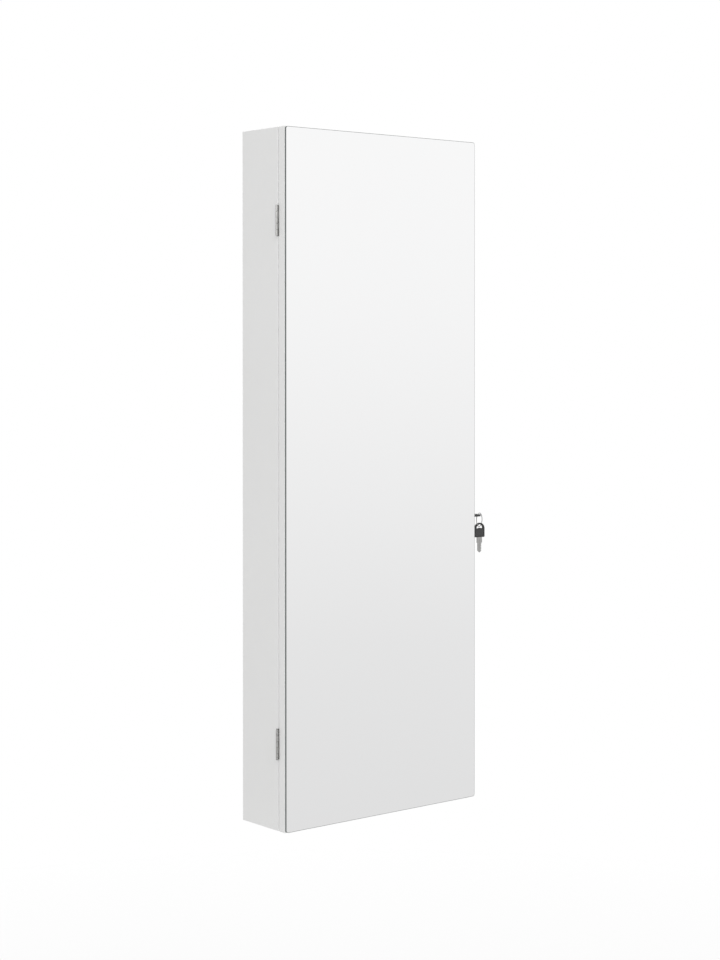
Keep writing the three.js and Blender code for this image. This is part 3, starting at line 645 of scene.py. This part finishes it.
def hingeRecesses():
    # the notches in the two boards that the barrels turn in
    cutter = bmesh.new()
    x, y = hinge["axis"]
    wide, half = hinge["recessHalfWidth"], hinge["length"] / 2 + hinge["recessPast"]
    for z in hinge["heights"].values():
        addBox(cutter, (x, y - wide, z - half), (x + hinge["recessDepth"], y + wide, z + half))
    return cutter


random.seed(7)
makeHinges()
makeBoards()
print("hinges and boards made")


# cam lock in the right side
lock = {
    "axis": (190.0, -83.0, -77.0), "barrelLength": 17.0, "barrelRadius": 6.5, "threadDepth": 0.4,
    "headRadius": 8.5, "headHeight": 2.0, "bore": 4.9, "plugRadius": 4.6, "plugEnd": 2.3,
    "keyway": (7.6, 2.6, 17.0),   # width, height and depth
    "tailSquare": 5.0, "tailEnd": -19.85, "tailGap": 0.3, "tailHole": (1.8, 5.0),
    "nutAcross": 17.0, "nutFrom": 174.75, "nutHeight": 3.0, "nutBore": 6.75,
    "screwHeadRadius": 4.0, "screwHeadHeight": 1.6, "screwHeadFrom": -21.7, "screwRadius": 1.5,
    "screwLength": 3.4, "screwCross": (4.6, 1.0, 1.1), "crossTurned": 0.3, "camSoftening": 0.25,
}


def makeLock():
    place = at(*lock["axis"]) @ sideways
    barrel, deep, back = lock["barrelRadius"], lock["threadDepth"], -lock["barrelLength"]
    bore, wide, top = lock["bore"], lock["headRadius"], lock["headHeight"]
    thread = []
    for i in range(int(lock["barrelLength"]) - 2):
        thread += [(barrel, back + i + 0.35), (barrel, back + i + 0.5), (barrel - deep, back + i + 0.95)]
    housing = lathe(
        [(bore, back), (barrel - deep, back), *thread, (barrel - deep, 0), (wide, 0), (wide, top * 0.55),
         (wide - 0.2, top * 0.8), (wide - 0.7, top), (bore + 0.5, top), (bore, top - 0.3)], 72)
    finishPiece("lock_housing", moved(housing, place), nickelMaterial, smooth=30)

    radius, end, tail = lock["plugRadius"], lock["plugEnd"], -lock["barrelLength"] - lock["tailGap"]
    plug = lathe([
        (0, tail), (radius, tail), (radius, end - 0.7), (radius - 0.2, end - 0.3),
        (radius - 0.7, end), (0, end)], 56)
    square, tailEnd = lock["tailSquare"] / 2, lock["tailEnd"]
    shaft = roundedBox((-square, -square, tailEnd), (square, square, tail + 1), 0.4, 2, 3)
    plug = carve(plug, shaft, "UNION")
    width, height, depth = lock["keyway"]
    keyway = roundedBox((-height / 2, -width / 2, end - depth), (height / 2, width / 2, end + 1), 0.6, 2, 4)
    plug = carve(plug, keyway)
    wide, deep = lock["tailHole"]
    plug = carve(plug, plainRod(wide, tailEnd - 1, tailEnd + deep, 24))
    finishPiece("lock_plug", moved(plug, place), nickelMaterial, smooth=30)

    corner, thick = lock["nutAcross"] / 3 ** 0.5, lock["nutHeight"]
    nut = bmesh.new()
    addRod(nut, corner, thick, at(0, 0, thick / 2), 6)
    rounded = lathe([
        (0, 0), (corner - 0.9, 0), (corner + 0.1, 0.6), (corner + 0.1, thick - 0.6),
        (corner - 0.9, thick), (0, thick)], 60)
    nut = carve(nut, rounded, "INTERSECT")
    nut = carve(nut, plainRod(lock["nutBore"], -1, thick + 1, 60))
    _, y, z = lock["axis"]
    nut = moved(nut, at(lock["nutFrom"], y, z) @ sideways)
    finishPiece("lock_nut", nut, nickelMaterial, smooth=25)

    softenedNode("lock_cam", zincMaterial, lock["camSoftening"])
    wide, tall, slim = lock["screwHeadRadius"], lock["screwHeadHeight"], lock["screwRadius"]
    bolt = lathe([
        (0, 0), (wide * 0.55, 0), (wide * 0.85, tall * 0.22), (wide, tall * 0.6), (wide, tall), (slim, tall),
        (slim, tall + lock["screwLength"]), (0, tall + lock["screwLength"])], 40)
    length, width, depth = lock["screwCross"]
    for turn in (lock["crossTurned"], lock["crossTurned"] + pi / 2):
        slot = bmesh.new()
        addBox(slot, (-length / 2, -width / 2, -1), (length / 2, width / 2, depth))
        bolt = carve(bolt, moved(slot, Matrix.Rotation(turn, 4, "Z")))
    bolt = moved(bolt, place @ at(0, 0, lock["screwHeadFrom"]))
    finishPiece("cam_screw", bolt, zincMaterial, smooth=30)


makeLock()
print("lock made")


# the two keys and their ring; a key lies along X, its blade ends at zero and its flat is in X and Y
key = {
    "bladeLength": 16.0, "bladeWidth": 7.0, "bladeThickness": 2.0, "tip": 3.0, "cuts": 4, "cutDepth": 1.3,
    "neckLength": 9.0, "neckWidth": 10.0, "tangLength": 8.0, "tangWidth": 8.0, "bladeSoftening": 0.15,
    "grooves": ((1.2, 1.3, 0.45, 1), (-1.4, 1.5, 0.45, -1)),   # place, width, depth and face
    "bowStart": 9.25, "bowLength": 23.7, "bowWidth": 19.4, "bowThickness": 3.0, "bowArch": 9.5,
    "bowCorner": 1.5, "bowSoftening": 0.5, "web": 2.8, "holeWidth": 13.0, "holeLength": 6.3,
    "bumpWidth": 3.6, "bumpHeight": 0.9, "panelMargin": 1.7, "panelDepth": 0.3, "panelCorner": 1.2,
    "slotRoom": 0.15, "slotEnd": 0.25, "spareTurned": 84.0,
}


def shapeBlade():
    half, length = key["bladeWidth"] / 2, key["bladeLength"]
    pitch = (length - key["tip"] - 2) / key["cuts"]
    points = [(-length, 0), (-length + key["tip"], -half)]
    for i in range(key["cuts"]):
        start = -length + key["tip"] + 0.5 + i * pitch
        depth = key["cutDepth"] * (1 if i % 2 == 0 else 0.6)
        points += [(start, -half), (start + pitch * 0.4, -half + depth), (start + pitch * 0.8, -half)]
    neck, tang = key["neckLength"], key["neckLength"] + key["tangLength"]
    wide, slim = key["neckWidth"] / 2, key["tangWidth"] / 2
    points += [
        (0, -half), (0, -wide), (neck, -wide), (neck, -slim), (tang, -slim), (tang, slim), (neck, slim),
        (neck, wide), (0, wide), (0, half), (-length + key["tip"], half)]
    blade = plateFrom(points, key["bladeThickness"])
    softenEdges(blade, key["bladeSoftening"], segments=2, angle=50)
    for middle, width, depth, face in key["grooves"]:
        surface = face * key["bladeThickness"] / 2
        inner, outer = surface - face * depth, surface + face
        groove = roundedBox(
            (-length - 1, middle - width / 2, min(inner, outer)),
            (neck * 0.55, middle + width / 2, max(inner, outer)), 0.3, 0, 3)
        blade = carve(blade, groove)
    return blade


def ellipseDisc(radiusX, radiusY, thickness, sides=72):
    disc = bmesh.new()
    addRod(disc, 1, thickness, sides=sides)
    return moved(disc, Matrix.Diagonal((radiusX, radiusY, 1, 1)))


def shapeBow():
    start, thick, half = key["bowStart"], key["bowThickness"], key["bowWidth"] / 2
    shoulder = start + key["bowLength"] - key["bowArch"]
    flat = start + key["bowLength"] - key["web"] - key["holeLength"]
    bow = roundedBox(
        (start, -half, -thick / 2), (shoulder, half, thick / 2), key["bowCorner"], 2,
        where=lambda middle: middle.x < start + 1)
    bow = carve(bow, moved(ellipseDisc(key["bowArch"], half, thick), at(shoulder, 0, 0)), "UNION")
    hole = moved(ellipseDisc(key["holeLength"], key["holeWidth"] / 2, thick * 2), at(flat, 0, 0))
    bmesh.ops.bisect_plane(
        hole, geom=hole.verts[:] + hole.edges[:] + hole.faces[:], plane_co=(flat * mm, 0, 0),
        plane_no=(-1, 0, 0), clear_outer=True)
    bmesh.ops.holes_fill(hole, edges=hole.edges)
    bump = ellipseDisc(key["bumpHeight"], key["bumpWidth"] / 2, thick * 3, 40)
    hole = carve(hole, moved(bump, at(flat, 0, 0)))
    bow = carve(bow, hole)
    mergeFlatFaces(bow)
    softenEdges(bow, key["bowSoftening"], angle=60)
    # the grip's shallow panel on each flat
    margin = key["panelMargin"]
    for face in (1, -1):
        inner, outer = face * (thick / 2 - key["panelDepth"]), face * (thick / 2 + 1)
        panel = roundedBox(
            (start + margin, -half + margin, min(inner, outer)),
            (flat - margin * 0.8, half - margin, max(inner, outer)), key["panelCorner"], 2, 5)
        bow = carve(bow, panel)
    slot = bmesh.new()
    tall = key["bladeThickness"] / 2 + key["slotRoom"]
    wide = key["tangWidth"] / 2 + 2 * key["slotRoom"]
    addBox(slot, (0, -wide, -tall), (start + key["tangLength"] + key["slotEnd"], wide, tall))
    bow = carve(bow, slot)
    level = (thick / 2 - key["panelDepth"]) * mm
    for face in bow.faces:
        inPanel = abs(abs(face.calc_center_median().z) - level) < 1e-6 and face.calc_area() > 4e-6
        face.material_index = 1 if inPanel else 0
    return bow


splitRing = {
    "radius": 11.0, "wireWide": 1.0, "wireThick": 0.5, "turned": 23.5, "gap": 24.0, "crossing": 40.0,
    "rolled": 2.4,  # radians that the ring is turned in its own plane
}


def shapeSplitRing():
    # a flat wire of two turns that lie on each other, with one short crossing between them
    wide, thick = splitRing["wireWide"] / 2, splitRing["wireThick"] / 2
    ring = roundedBox(
        (splitRing["radius"] - wide, 0, -thick), (splitRing["radius"] + wide, 0.001, thick), 0.2, 1, 2)
    bmesh.ops.remove_doubles(ring, verts=ring.verts, dist=1e-5)
    last = ring.edges[:]
    gap, crossing = radians(splitRing["gap"]), radians(splitRing["crossing"])
    step, first = splitRing["wireThick"] * mm, 2 * pi - gap - crossing / 2
    bmesh.ops.delete(ring, geom=ring.faces[:], context="FACES_ONLY")
    bmesh.ops.translate(ring, vec=(0, 0, -step / 2), verts=ring.verts)
    for angle, rise, steps in ((first, 0, 48), (crossing, step, 10), (first, 0, 48)):
        made = bmesh.ops.spin(
            ring, geom=last, cent=(0, 0, 0), axis=(0, 0, 1), dvec=(0, 0, rise / steps),
            angle=angle, steps=steps, use_merge=False)
        last = made["geom_last"]
    bmesh.ops.holes_fill(ring, edges=ring.edges)
    return ring


def makeKeys():
    blade, bow = shapeBlade(), shapeBow()
    low, _, middle = spanOf("key_blade")
    own = at(low.x + key["bladeLength"], middle.y, middle.z)
    _, high, middle = spanOf("spare_key_bow")
    hang = at(middle.x, middle.y, high.z - key["bowStart"] - key["bowLength"])
    hang = hang @ Matrix.Rotation(radians(key["spareTurned"]), 4, "Z") @ Matrix.Rotation(-pi / 2, 4, "Y")
    for name, place in (("key", own), ("spare_key", hang)):
        finishPiece(name + "_blade", moved(blade.copy(), place), nickelMaterial, smooth=30)
        finishPiece(
            name + "_bow", moved(bow.copy(), place), blackPlasticMaterial, gripMaterial, smooth=30)
    middle = spanOf("key_ring")[2]
    turn = Matrix.Rotation(radians(splitRing["turned"]), 4, "Z") @ frontways
    ring = moved(shapeSplitRing(), at(*middle) @ turn @ Matrix.Rotation(splitRing["rolled"], 4, "Z"))
    finishPiece("key_ring", ring, nickelMaterial, smooth=40)


makeKeys()
print("keys made")


# keyhole plates that hang the cabinet on the wall
hanger = {
    "size": (17.0, 44.0, 1.5), "corner": 3.0, "screwAt": 17.5, "screwRadius": 2.6,
    "hole": 4.5, "slot": 4.5, "rise": 12.0, "softening": 0.1,
}


def makeHangers():
    width, height, thick = hanger["size"]
    wide, through = hanger["slot"] / 2, 4
    for side in ("left", "right"):
        node = "wall_hanger_" + side
        x, _, z = spanOf(node)[2]
        plate = roundedBox((-width / 2, -thick, -height / 2), (width / 2, 0, height / 2), hanger["corner"], 1)
        down = -hanger["rise"] / 2
        opening = bmesh.new()
        addRod(opening, hanger["hole"], 2 * through, at(0, 0, down) @ frontways)
        slot = roundedBox(
            (-wide, -through, down), (wide, through, down + hanger["rise"]), wide - 0.02, 1, 10,
            where=lambda middle: middle.z > 0)
        plate = carve(plate, carve(opening, slot, "UNION"))
        plate = moved(plate, at(x, 0, z))
        spots = aboveAndBelow(x, 0, z, hanger["screwAt"])
        plate = sinkScrews(plate, camelName(node) + "Screws", node, spots, (0, 1, 0), hanger["screwRadius"])
        softenEdges(plate, hanger["softening"], segments=1, angle=60)
        finishPiece(node, plate, zincMaterial, smooth=30)


makeHangers()
print("hangers made")


# strike plate, magnetic catch and door bumpers
fittings = {
    "strikeScrewAt": 17.0, "strikeScrewRadius": 2.0, "catchPlateScrewAt": 14.0, "catchPlateScrewRadius": 2.2,
    "catchPlateCorner": 1.2, "catchPlateSoftening": 0.15, "catchSoftening": 0.8, "catchScrewAt": 16.0,
    "catchScrewRadius": 2.4, "magnetSoftening": 0.3, "bumperRadius": 4.0, "bumperHeight": 0.75,
}


def screwPlate(node, plate, apart, radius):
    # screws a flat plate down through its back, above and below its middle
    _, high, middle = spanOf(node)
    spots = aboveAndBelow(middle.x, high.y, middle.z, apart)
    name = camelName(node).replace("Piece", "Screws")
    plate = sinkScrews(plate, name, node, spots, (0, 1, 0), radius)
    finishPiece(node, plate, zincMaterial, smooth=30)


def makeFittings():
    screwPlate(
        "strike_plate", copyOfNode("strike_plate"), fittings["strikeScrewAt"], fittings["strikeScrewRadius"])
    low, high, _ = spanOf("catch_plate")
    plate = roundedBox(low, high, fittings["catchPlateCorner"], 1)
    softenEdges(plate, fittings["catchPlateSoftening"], angle=60, segments=2)
    screwPlate("catch_plate", plate, fittings["catchPlateScrewAt"], fittings["catchPlateScrewRadius"])

    low, high, middle = spanOf("catch_housing")
    housing = copyOfNode("catch_housing")
    inner = [
        e for e in housing.edges if len(e.link_faces) == 2 and e.calc_face_angle() > radians(20)
        and all(v.co.y / mm > low.y + 2 for v in e.verts)]
    softenEdges(housing, fittings["catchSoftening"], edges=inner)
    spots = aboveAndBelow(low.x, (low.y + 2 * high.y) / 3, middle.z, fittings["catchScrewAt"])
    housing = sinkScrews(
        housing, "catchHousingScrews", "catch_housing", spots, (-1, 0, 0), fittings["catchScrewRadius"])
    finishPiece("catch_housing", housing, whitePlasticMaterial, smooth=30)
    softenedNode("catch_magnet", ferriteMaterial, fittings["magnetSoftening"])

    radius, height = fittings["bumperRadius"], fittings["bumperHeight"]
    dome = lathe([
        (0, 0), (radius, 0), (radius * 0.97, height * 0.35), (radius * 0.82, height * 0.75),
        (radius * 0.5, height * 0.95), (0, height)], 40)
    for node in ("door_bumper_top", "door_bumper_bottom"):
        low, _, middle = spanOf(node)
        place = at(middle.x, low.y, middle.z) @ facing((0, 1, 0))
        finishPiece(node, moved(dome.copy(), place), rubberMaterial, smooth=60)


makeFittings()
print("strike, catch and bumpers made")


# necklace hooks
hooks = {
    "count": 12, "wire": 1.6, "straight": 11.0, "bend": 7.0, "belowMiddle": 4.0, "ball": 2.4,
    "collar": 2.9, "collarHeight": 0.7, "screwPitches": (1, 6, 11), "screwRadius": 2.3,
    "bar": {"thickness": 3.0, "middle": 497.0, "halfHeight": 8.0, "corner": 1.5, "softening": 0.5},
}


def makeHooks():
    low, high, _ = spanOf("necklace_hook_bar")
    back, width = high.y, high.x - low.x
    sizes = hooks["bar"]
    front, middle, half = back - sizes["thickness"], sizes["middle"], sizes["halfHeight"]
    bar = roundedBox((-width / 2, front, middle - half), (width / 2, back, middle + half), sizes["corner"], 1)
    softenEdges(bar, sizes["softening"], angle=60)
    pitch = width / hooks["count"]
    spots = [(n * pitch - width / 2, front, middle) for n in hooks["screwPitches"]]
    bar = sinkScrews(
        bar, "necklaceHookScrews", "necklace_hook_bar", spots, (0, -1, 0), hooks["screwRadius"],
        nickelMaterial)
    wire, z = hooks["wire"], middle - hooks["belowMiddle"]
    start, bend = back - 1.5, hooks["bend"]
    hook = bmesh.new()
    circle = bmesh.ops.create_circle(
        hook, segments=16, radius=wire * mm, matrix=at(0, start, z) @ facing((0, -1, 0)))["verts"]
    loop = list({e for v in circle for e in v.link_edges})
    made = bmesh.ops.extrude_edge_only(hook, edges=loop)["geom"]
    ends = [g for g in made if isinstance(g, bmesh.types.BMVert)]
    bmesh.ops.translate(hook, vec=(0, -hooks["straight"] * mm, 0), verts=ends)
    loop = [g for g in made if isinstance(g, bmesh.types.BMEdge)]
    bmesh.ops.spin(
        hook, geom=loop, cent=Vector((0, start - hooks["straight"], z + bend)) * mm, axis=(-1, 0, 0),
        angle=pi / 2, steps=10, use_merge=False)
    bmesh.ops.holes_fill(hook, edges=hook.edges)
    bmesh.ops.recalc_face_normals(hook, faces=hook.faces)
    ball, tip = bmesh.new(), (0, start - hooks["straight"] - bend, z + bend + 0.6)
    bmesh.ops.create_uvsphere(ball, u_segments=24, v_segments=14, radius=hooks["ball"] * mm, matrix=at(*tip))
    hook = carve(hook, ball, "UNION")
    wide, tall = hooks["collar"], hooks["collarHeight"]
    collar = lathe([(0, -0.2), (wide, -0.2), (wide, tall * 0.6), (wide - 0.3, tall), (0, tall)], 28)
    hook = carve(hook, moved(collar, at(0, front, z) @ facing((0, -1, 0))), "UNION")
    for i in range(hooks["count"]):
        addShape(bar, hook, at((i + 0.5) * pitch - width / 2, 0, 0))
    finishPiece("necklace_hook_bar", bar, nickelMaterial)


makeHooks()
print("necklace hooks made")


# padded ring rolls and the velvet-covered rod and lining
rolls = {
    "count": 6, "shrink": 0.9, "voxel": 3.0, "pressure": 3.0, "frames": 16, "cap": 1.2,
    "pucker": 0.5, "puckerLength": 9.0, "unevenness": 0.25, "drawnIn": 0.5, "endGap": 2.0, "endRound": 2.2,
    "fill": 0.85, "liningSoftening": 0.6,
}

# a rod socket's outline: its radius at each distance from the wall, in millimetres
rodSocket = [
    (0, 0), (13, 0), (13, 1.6), (12.6, 2.2), (11.6, 2.6), (11.2, 3.2), (11.2, 6.2), (10.7, 6.9), (10.2, 7),
    (9.6, 6.8), (9.3, 6.2), (9.3, 3), (0, 3),
]


def inflate(piece):
    # a short cloth run that swells the roll, with every point kept near its start
    start = [v.co.copy() for v in piece.data.vertices]
    cloth = piece.modifiers.new("swell", "CLOTH")
    cloth.settings.use_pressure = True
    cloth.settings.uniform_pressure_force = rolls["pressure"]
    cloth.settings.effector_weights.gravity = 0
    cloth.settings.quality = 5
    cloth.point_cache.frame_end = rolls["frames"]
    for frameNumber in range(1, rolls["frames"] + 1):
        scene.frame_set(frameNumber)
    swollen = piece.evaluated_get(bpy.context.evaluated_depsgraph_get()).to_mesh()
    ends = [v.co.copy() for v in swollen.vertices]
    piece.modifiers.remove(cloth)
    scene.frame_set(1)
    cap = rolls["cap"] * mm
    for vertex, before, after in zip(piece.data.vertices, start, ends):
        step = after - before
        vertex.co = before + (step if step.length <= cap else step.normalized() * cap)


def makeRoll(index):
    node = f"ring_roll_{index}"
    low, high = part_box(node)
    middle, size = (low + high) / 2, (high - low) / mm
    shrink = rolls["shrink"]
    core = bmesh.new()
    length = size.x - rolls["endGap"]
    addRod(core, 1, length, sideways, 40)
    moved(core, Matrix.Diagonal((1, size.y / 2 - shrink, size.z / 2 - shrink, 1)))
    softenEdges(core, rolls["endRound"], angle=60, segments=3)
    piece = newObject("rollCore", meshFrom(core, "rollCore"))
    remesh = piece.modifiers.new("even", "REMESH")
    remesh.mode, remesh.voxel_size = "VOXEL", rolls["voxel"] * mm
    even = bpy.data.meshes.new_from_object(piece.evaluated_get(bpy.context.evaluated_depsgraph_get()))
    piece.modifiers.clear()
    piece.data = even
    inflate(piece)
    # gathers that run in from the sewn ends, and a slow unevenness along the roll
    half = length / 2 * mm
    bm = bmesh.new()
    bm.from_mesh(piece.data)
    for v in bm.verts:
        inward = min(1, (half - abs(v.co.x)) / (rolls["puckerLength"] * mm))
        around = Vector((0, v.co.y, v.co.z)).normalized()
        wave = noise.noise(Vector((v.co.x * 25, around.y * 5, around.z * 5 + index * 7)))
        slow = noise.noise(Vector((v.co.x * 30 + index * 3, around.y * 1.3, around.z * 1.3)))
        swell = wave * (1 - inward) * rolls["pucker"] + slow * rolls["unevenness"]
        v.co += around * (swell - (1 - inward) ** 2 * rolls["drawnIn"]) * mm
    bmesh.ops.translate(bm, vec=middle, verts=bm.verts)
    bpy.data.objects.remove(piece)
    roll = finishPiece(node, bm, velvetMaterial, smooth=180)
    smooth = roll.modifiers.new("smooth", "SUBSURF")
    smooth.levels = smooth.render_levels = 2


def makeSoftPieces():
    for index in range(1, rolls["count"] + 1):
        makeRoll(index)
    softenedNode("back_lining", velvetMaterial, rolls["liningSoftening"], 3)
    low, high, middle = spanOf("bracelet_rod")
    half = (high.x - low.x) / 2
    rod = moved(roundedRod((high.z - low.z) / 2, -half, half, 1, 64), at(*middle) @ sideways)
    finishPiece("bracelet_rod", rod, velvetMaterial, smooth=40)
    for side, turn in (("left", pi / 2), ("right", -pi / 2)):
        node = "rod_socket_" + side
        low, high, middle = spanOf(node)
        place = at(low.x if side == "left" else high.x, middle.y, middle.z)
        socket = moved(lathe(rodSocket, 64), place @ Matrix.Rotation(turn, 4, "Y"))
        finishPiece(node, socket, whitePlasticMaterial)


makeSoftPieces()
print("soft pieces made")


# studio
studio = {
    "floorBelow": 720.0,  # from the cabinet's foot down to the floor, as it hangs on a wall
    "floorRadius": 2600.0,
    "floorColour": (0.88, 0.88, 0.88),
    "floorRough": 0.7,
    "floorFade": (0.35, 0.97),  # where the floor begins to fade and is gone, as shares of its radius
    "floorWhite": 0.85,
    "ambient": 0.60,
    "lamps": {
        # name: place in metres, width, height, watts
        "frontSoftbox": ((-1.4, -3.2, 2.6), 2.6, 2.2, 52.0),
        "leftSoftbox": ((-3.4, -0.9, 0.4), 3.0, 3.0, 29.0),
        "backSoftbox": ((1.6, 2.8, 1.8), 3.0, 3.0, 25.0),
    },
}


def addFloor():
    bm = bmesh.new()
    bmesh.ops.create_circle(bm, cap_ends=True, segments=96, radius=studio["floorRadius"] * mm)
    bmesh.ops.translate(bm, vec=(0, -0.1, cadBox[0].z - studio["floorBelow"] * mm), verts=bm.verts)
    material = bpy.data.materials.new("paleFloor")
    material.use_nodes = True
    tree = material.node_tree
    shader = tree.nodes["Principled BSDF"]
    shader.inputs["Roughness"].default_value = studio["floorRough"]
    shader.inputs["Base Color"].default_value = (*studio["floorColour"], 1)
    # the floor's rim fades away, so that it has no edge against the background
    place = tree.nodes.new("ShaderNodeTexCoord").outputs["Object"]
    flat = addNode(tree, "VectorMath", place)
    flat.operation = "MULTIPLY"
    flat.inputs[1].default_value = (1, 1, 0)
    distance = addNode(tree, "VectorMath", flat.outputs["Vector"])
    distance.operation = "LENGTH"
    begin, end = (share * studio["floorRadius"] * mm for share in studio["floorFade"])
    fade = addRange(tree, distance.outputs["Value"], begin, end)
    clear = tree.nodes.new("ShaderNodeBsdfTransparent")
    # seen by the camera or in a mirror, the floor is partly the studio's white and keeps its shadow
    white = tree.nodes.new("ShaderNodeEmission")
    share = addMath(tree, "MULTIPLY", addMath(tree, "MAXIMUM", *lookedAt(tree)), studio["floorWhite"])
    whitened = addNode(tree, "MixShader", share, shader.outputs["BSDF"], white.outputs["Emission"])
    mixed = addNode(tree, "MixShader", fade, whitened.outputs["Shader"], clear.outputs["BSDF"])
    tree.links.new(mixed.outputs["Shader"], tree.nodes["Material Output"].inputs["Surface"])
    floor = newObject("floor", meshFrom(bm, "floor", [material]))


def addLamps():
    for name, (place, width, height, watts) in studio["lamps"].items():
        data = bpy.data.lights.new(name, "AREA")
        data.shape = "RECTANGLE"
        data.size, data.size_y, data.energy = width, height, watts
        lamp = bpy.data.objects.new(name, data)
        lamp.location = place
        lamp.rotation_euler = (-Vector(place)).to_track_quat("-Z", "Y").to_euler()
        scene.collection.objects.link(lamp)


# what metal and glass see of the studio: bright from the eye line up, greyer towards the floor,
# and darker behind the cabinet
reflectedRoom = [(-0.30, 0.74), (-0.15, 0.815), (-0.06, 0.895), (0.02, 0.955), (0.12, 0.985)]
reflectedBehind = {"level": 0.6, "turn": (-0.4, 0.5)}


def addWorld():
    world = bpy.data.worlds.new("studioRoom")
    world.use_nodes = True
    scene.world = world
    tree = world.node_tree
    background = tree.nodes["Background"]
    direction = tree.nodes.new("ShaderNodeTexCoord").outputs["Generated"]
    parts = addNode(tree, "SeparateXYZ", direction)
    lowest, highest = reflectedRoom[0][0], reflectedRoom[-1][0]
    height = addRange(tree, parts.outputs["Z"], lowest, highest)
    ramp = addNode(tree, "ValToRGB", height)
    ramp.color_ramp.interpolation = "B_SPLINE"
    stops = ramp.color_ramp.elements
    for place, level in reflectedRoom[1:-1]:
        stops.new((place - lowest) / (highest - lowest))
    for stop, (place, level) in zip(stops, reflectedRoom):
        stop.color = (level, level, level, 1)
    behind = addRange(tree, parts.outputs["Y"], *reflectedBehind["turn"])
    white, dark = (1.0,) * 3, (reflectedBehind["level"],) * 3
    around = addMix(tree, 1.0, ramp.outputs["Color"], addMix(tree, behind, white, dark), "MULTIPLY")
    camera, mirrored = lookedAt(tree)
    seen = addMix(tree, mirrored, (studio["ambient"],) * 3, around)
    shown = addMix(tree, camera, seen, white)
    tree.links.new(shown, background.inputs["Color"])
    background.inputs["Strength"].default_value = 1


addFloor()
addLamps()
addWorld()
addCamera()
print("studio made")
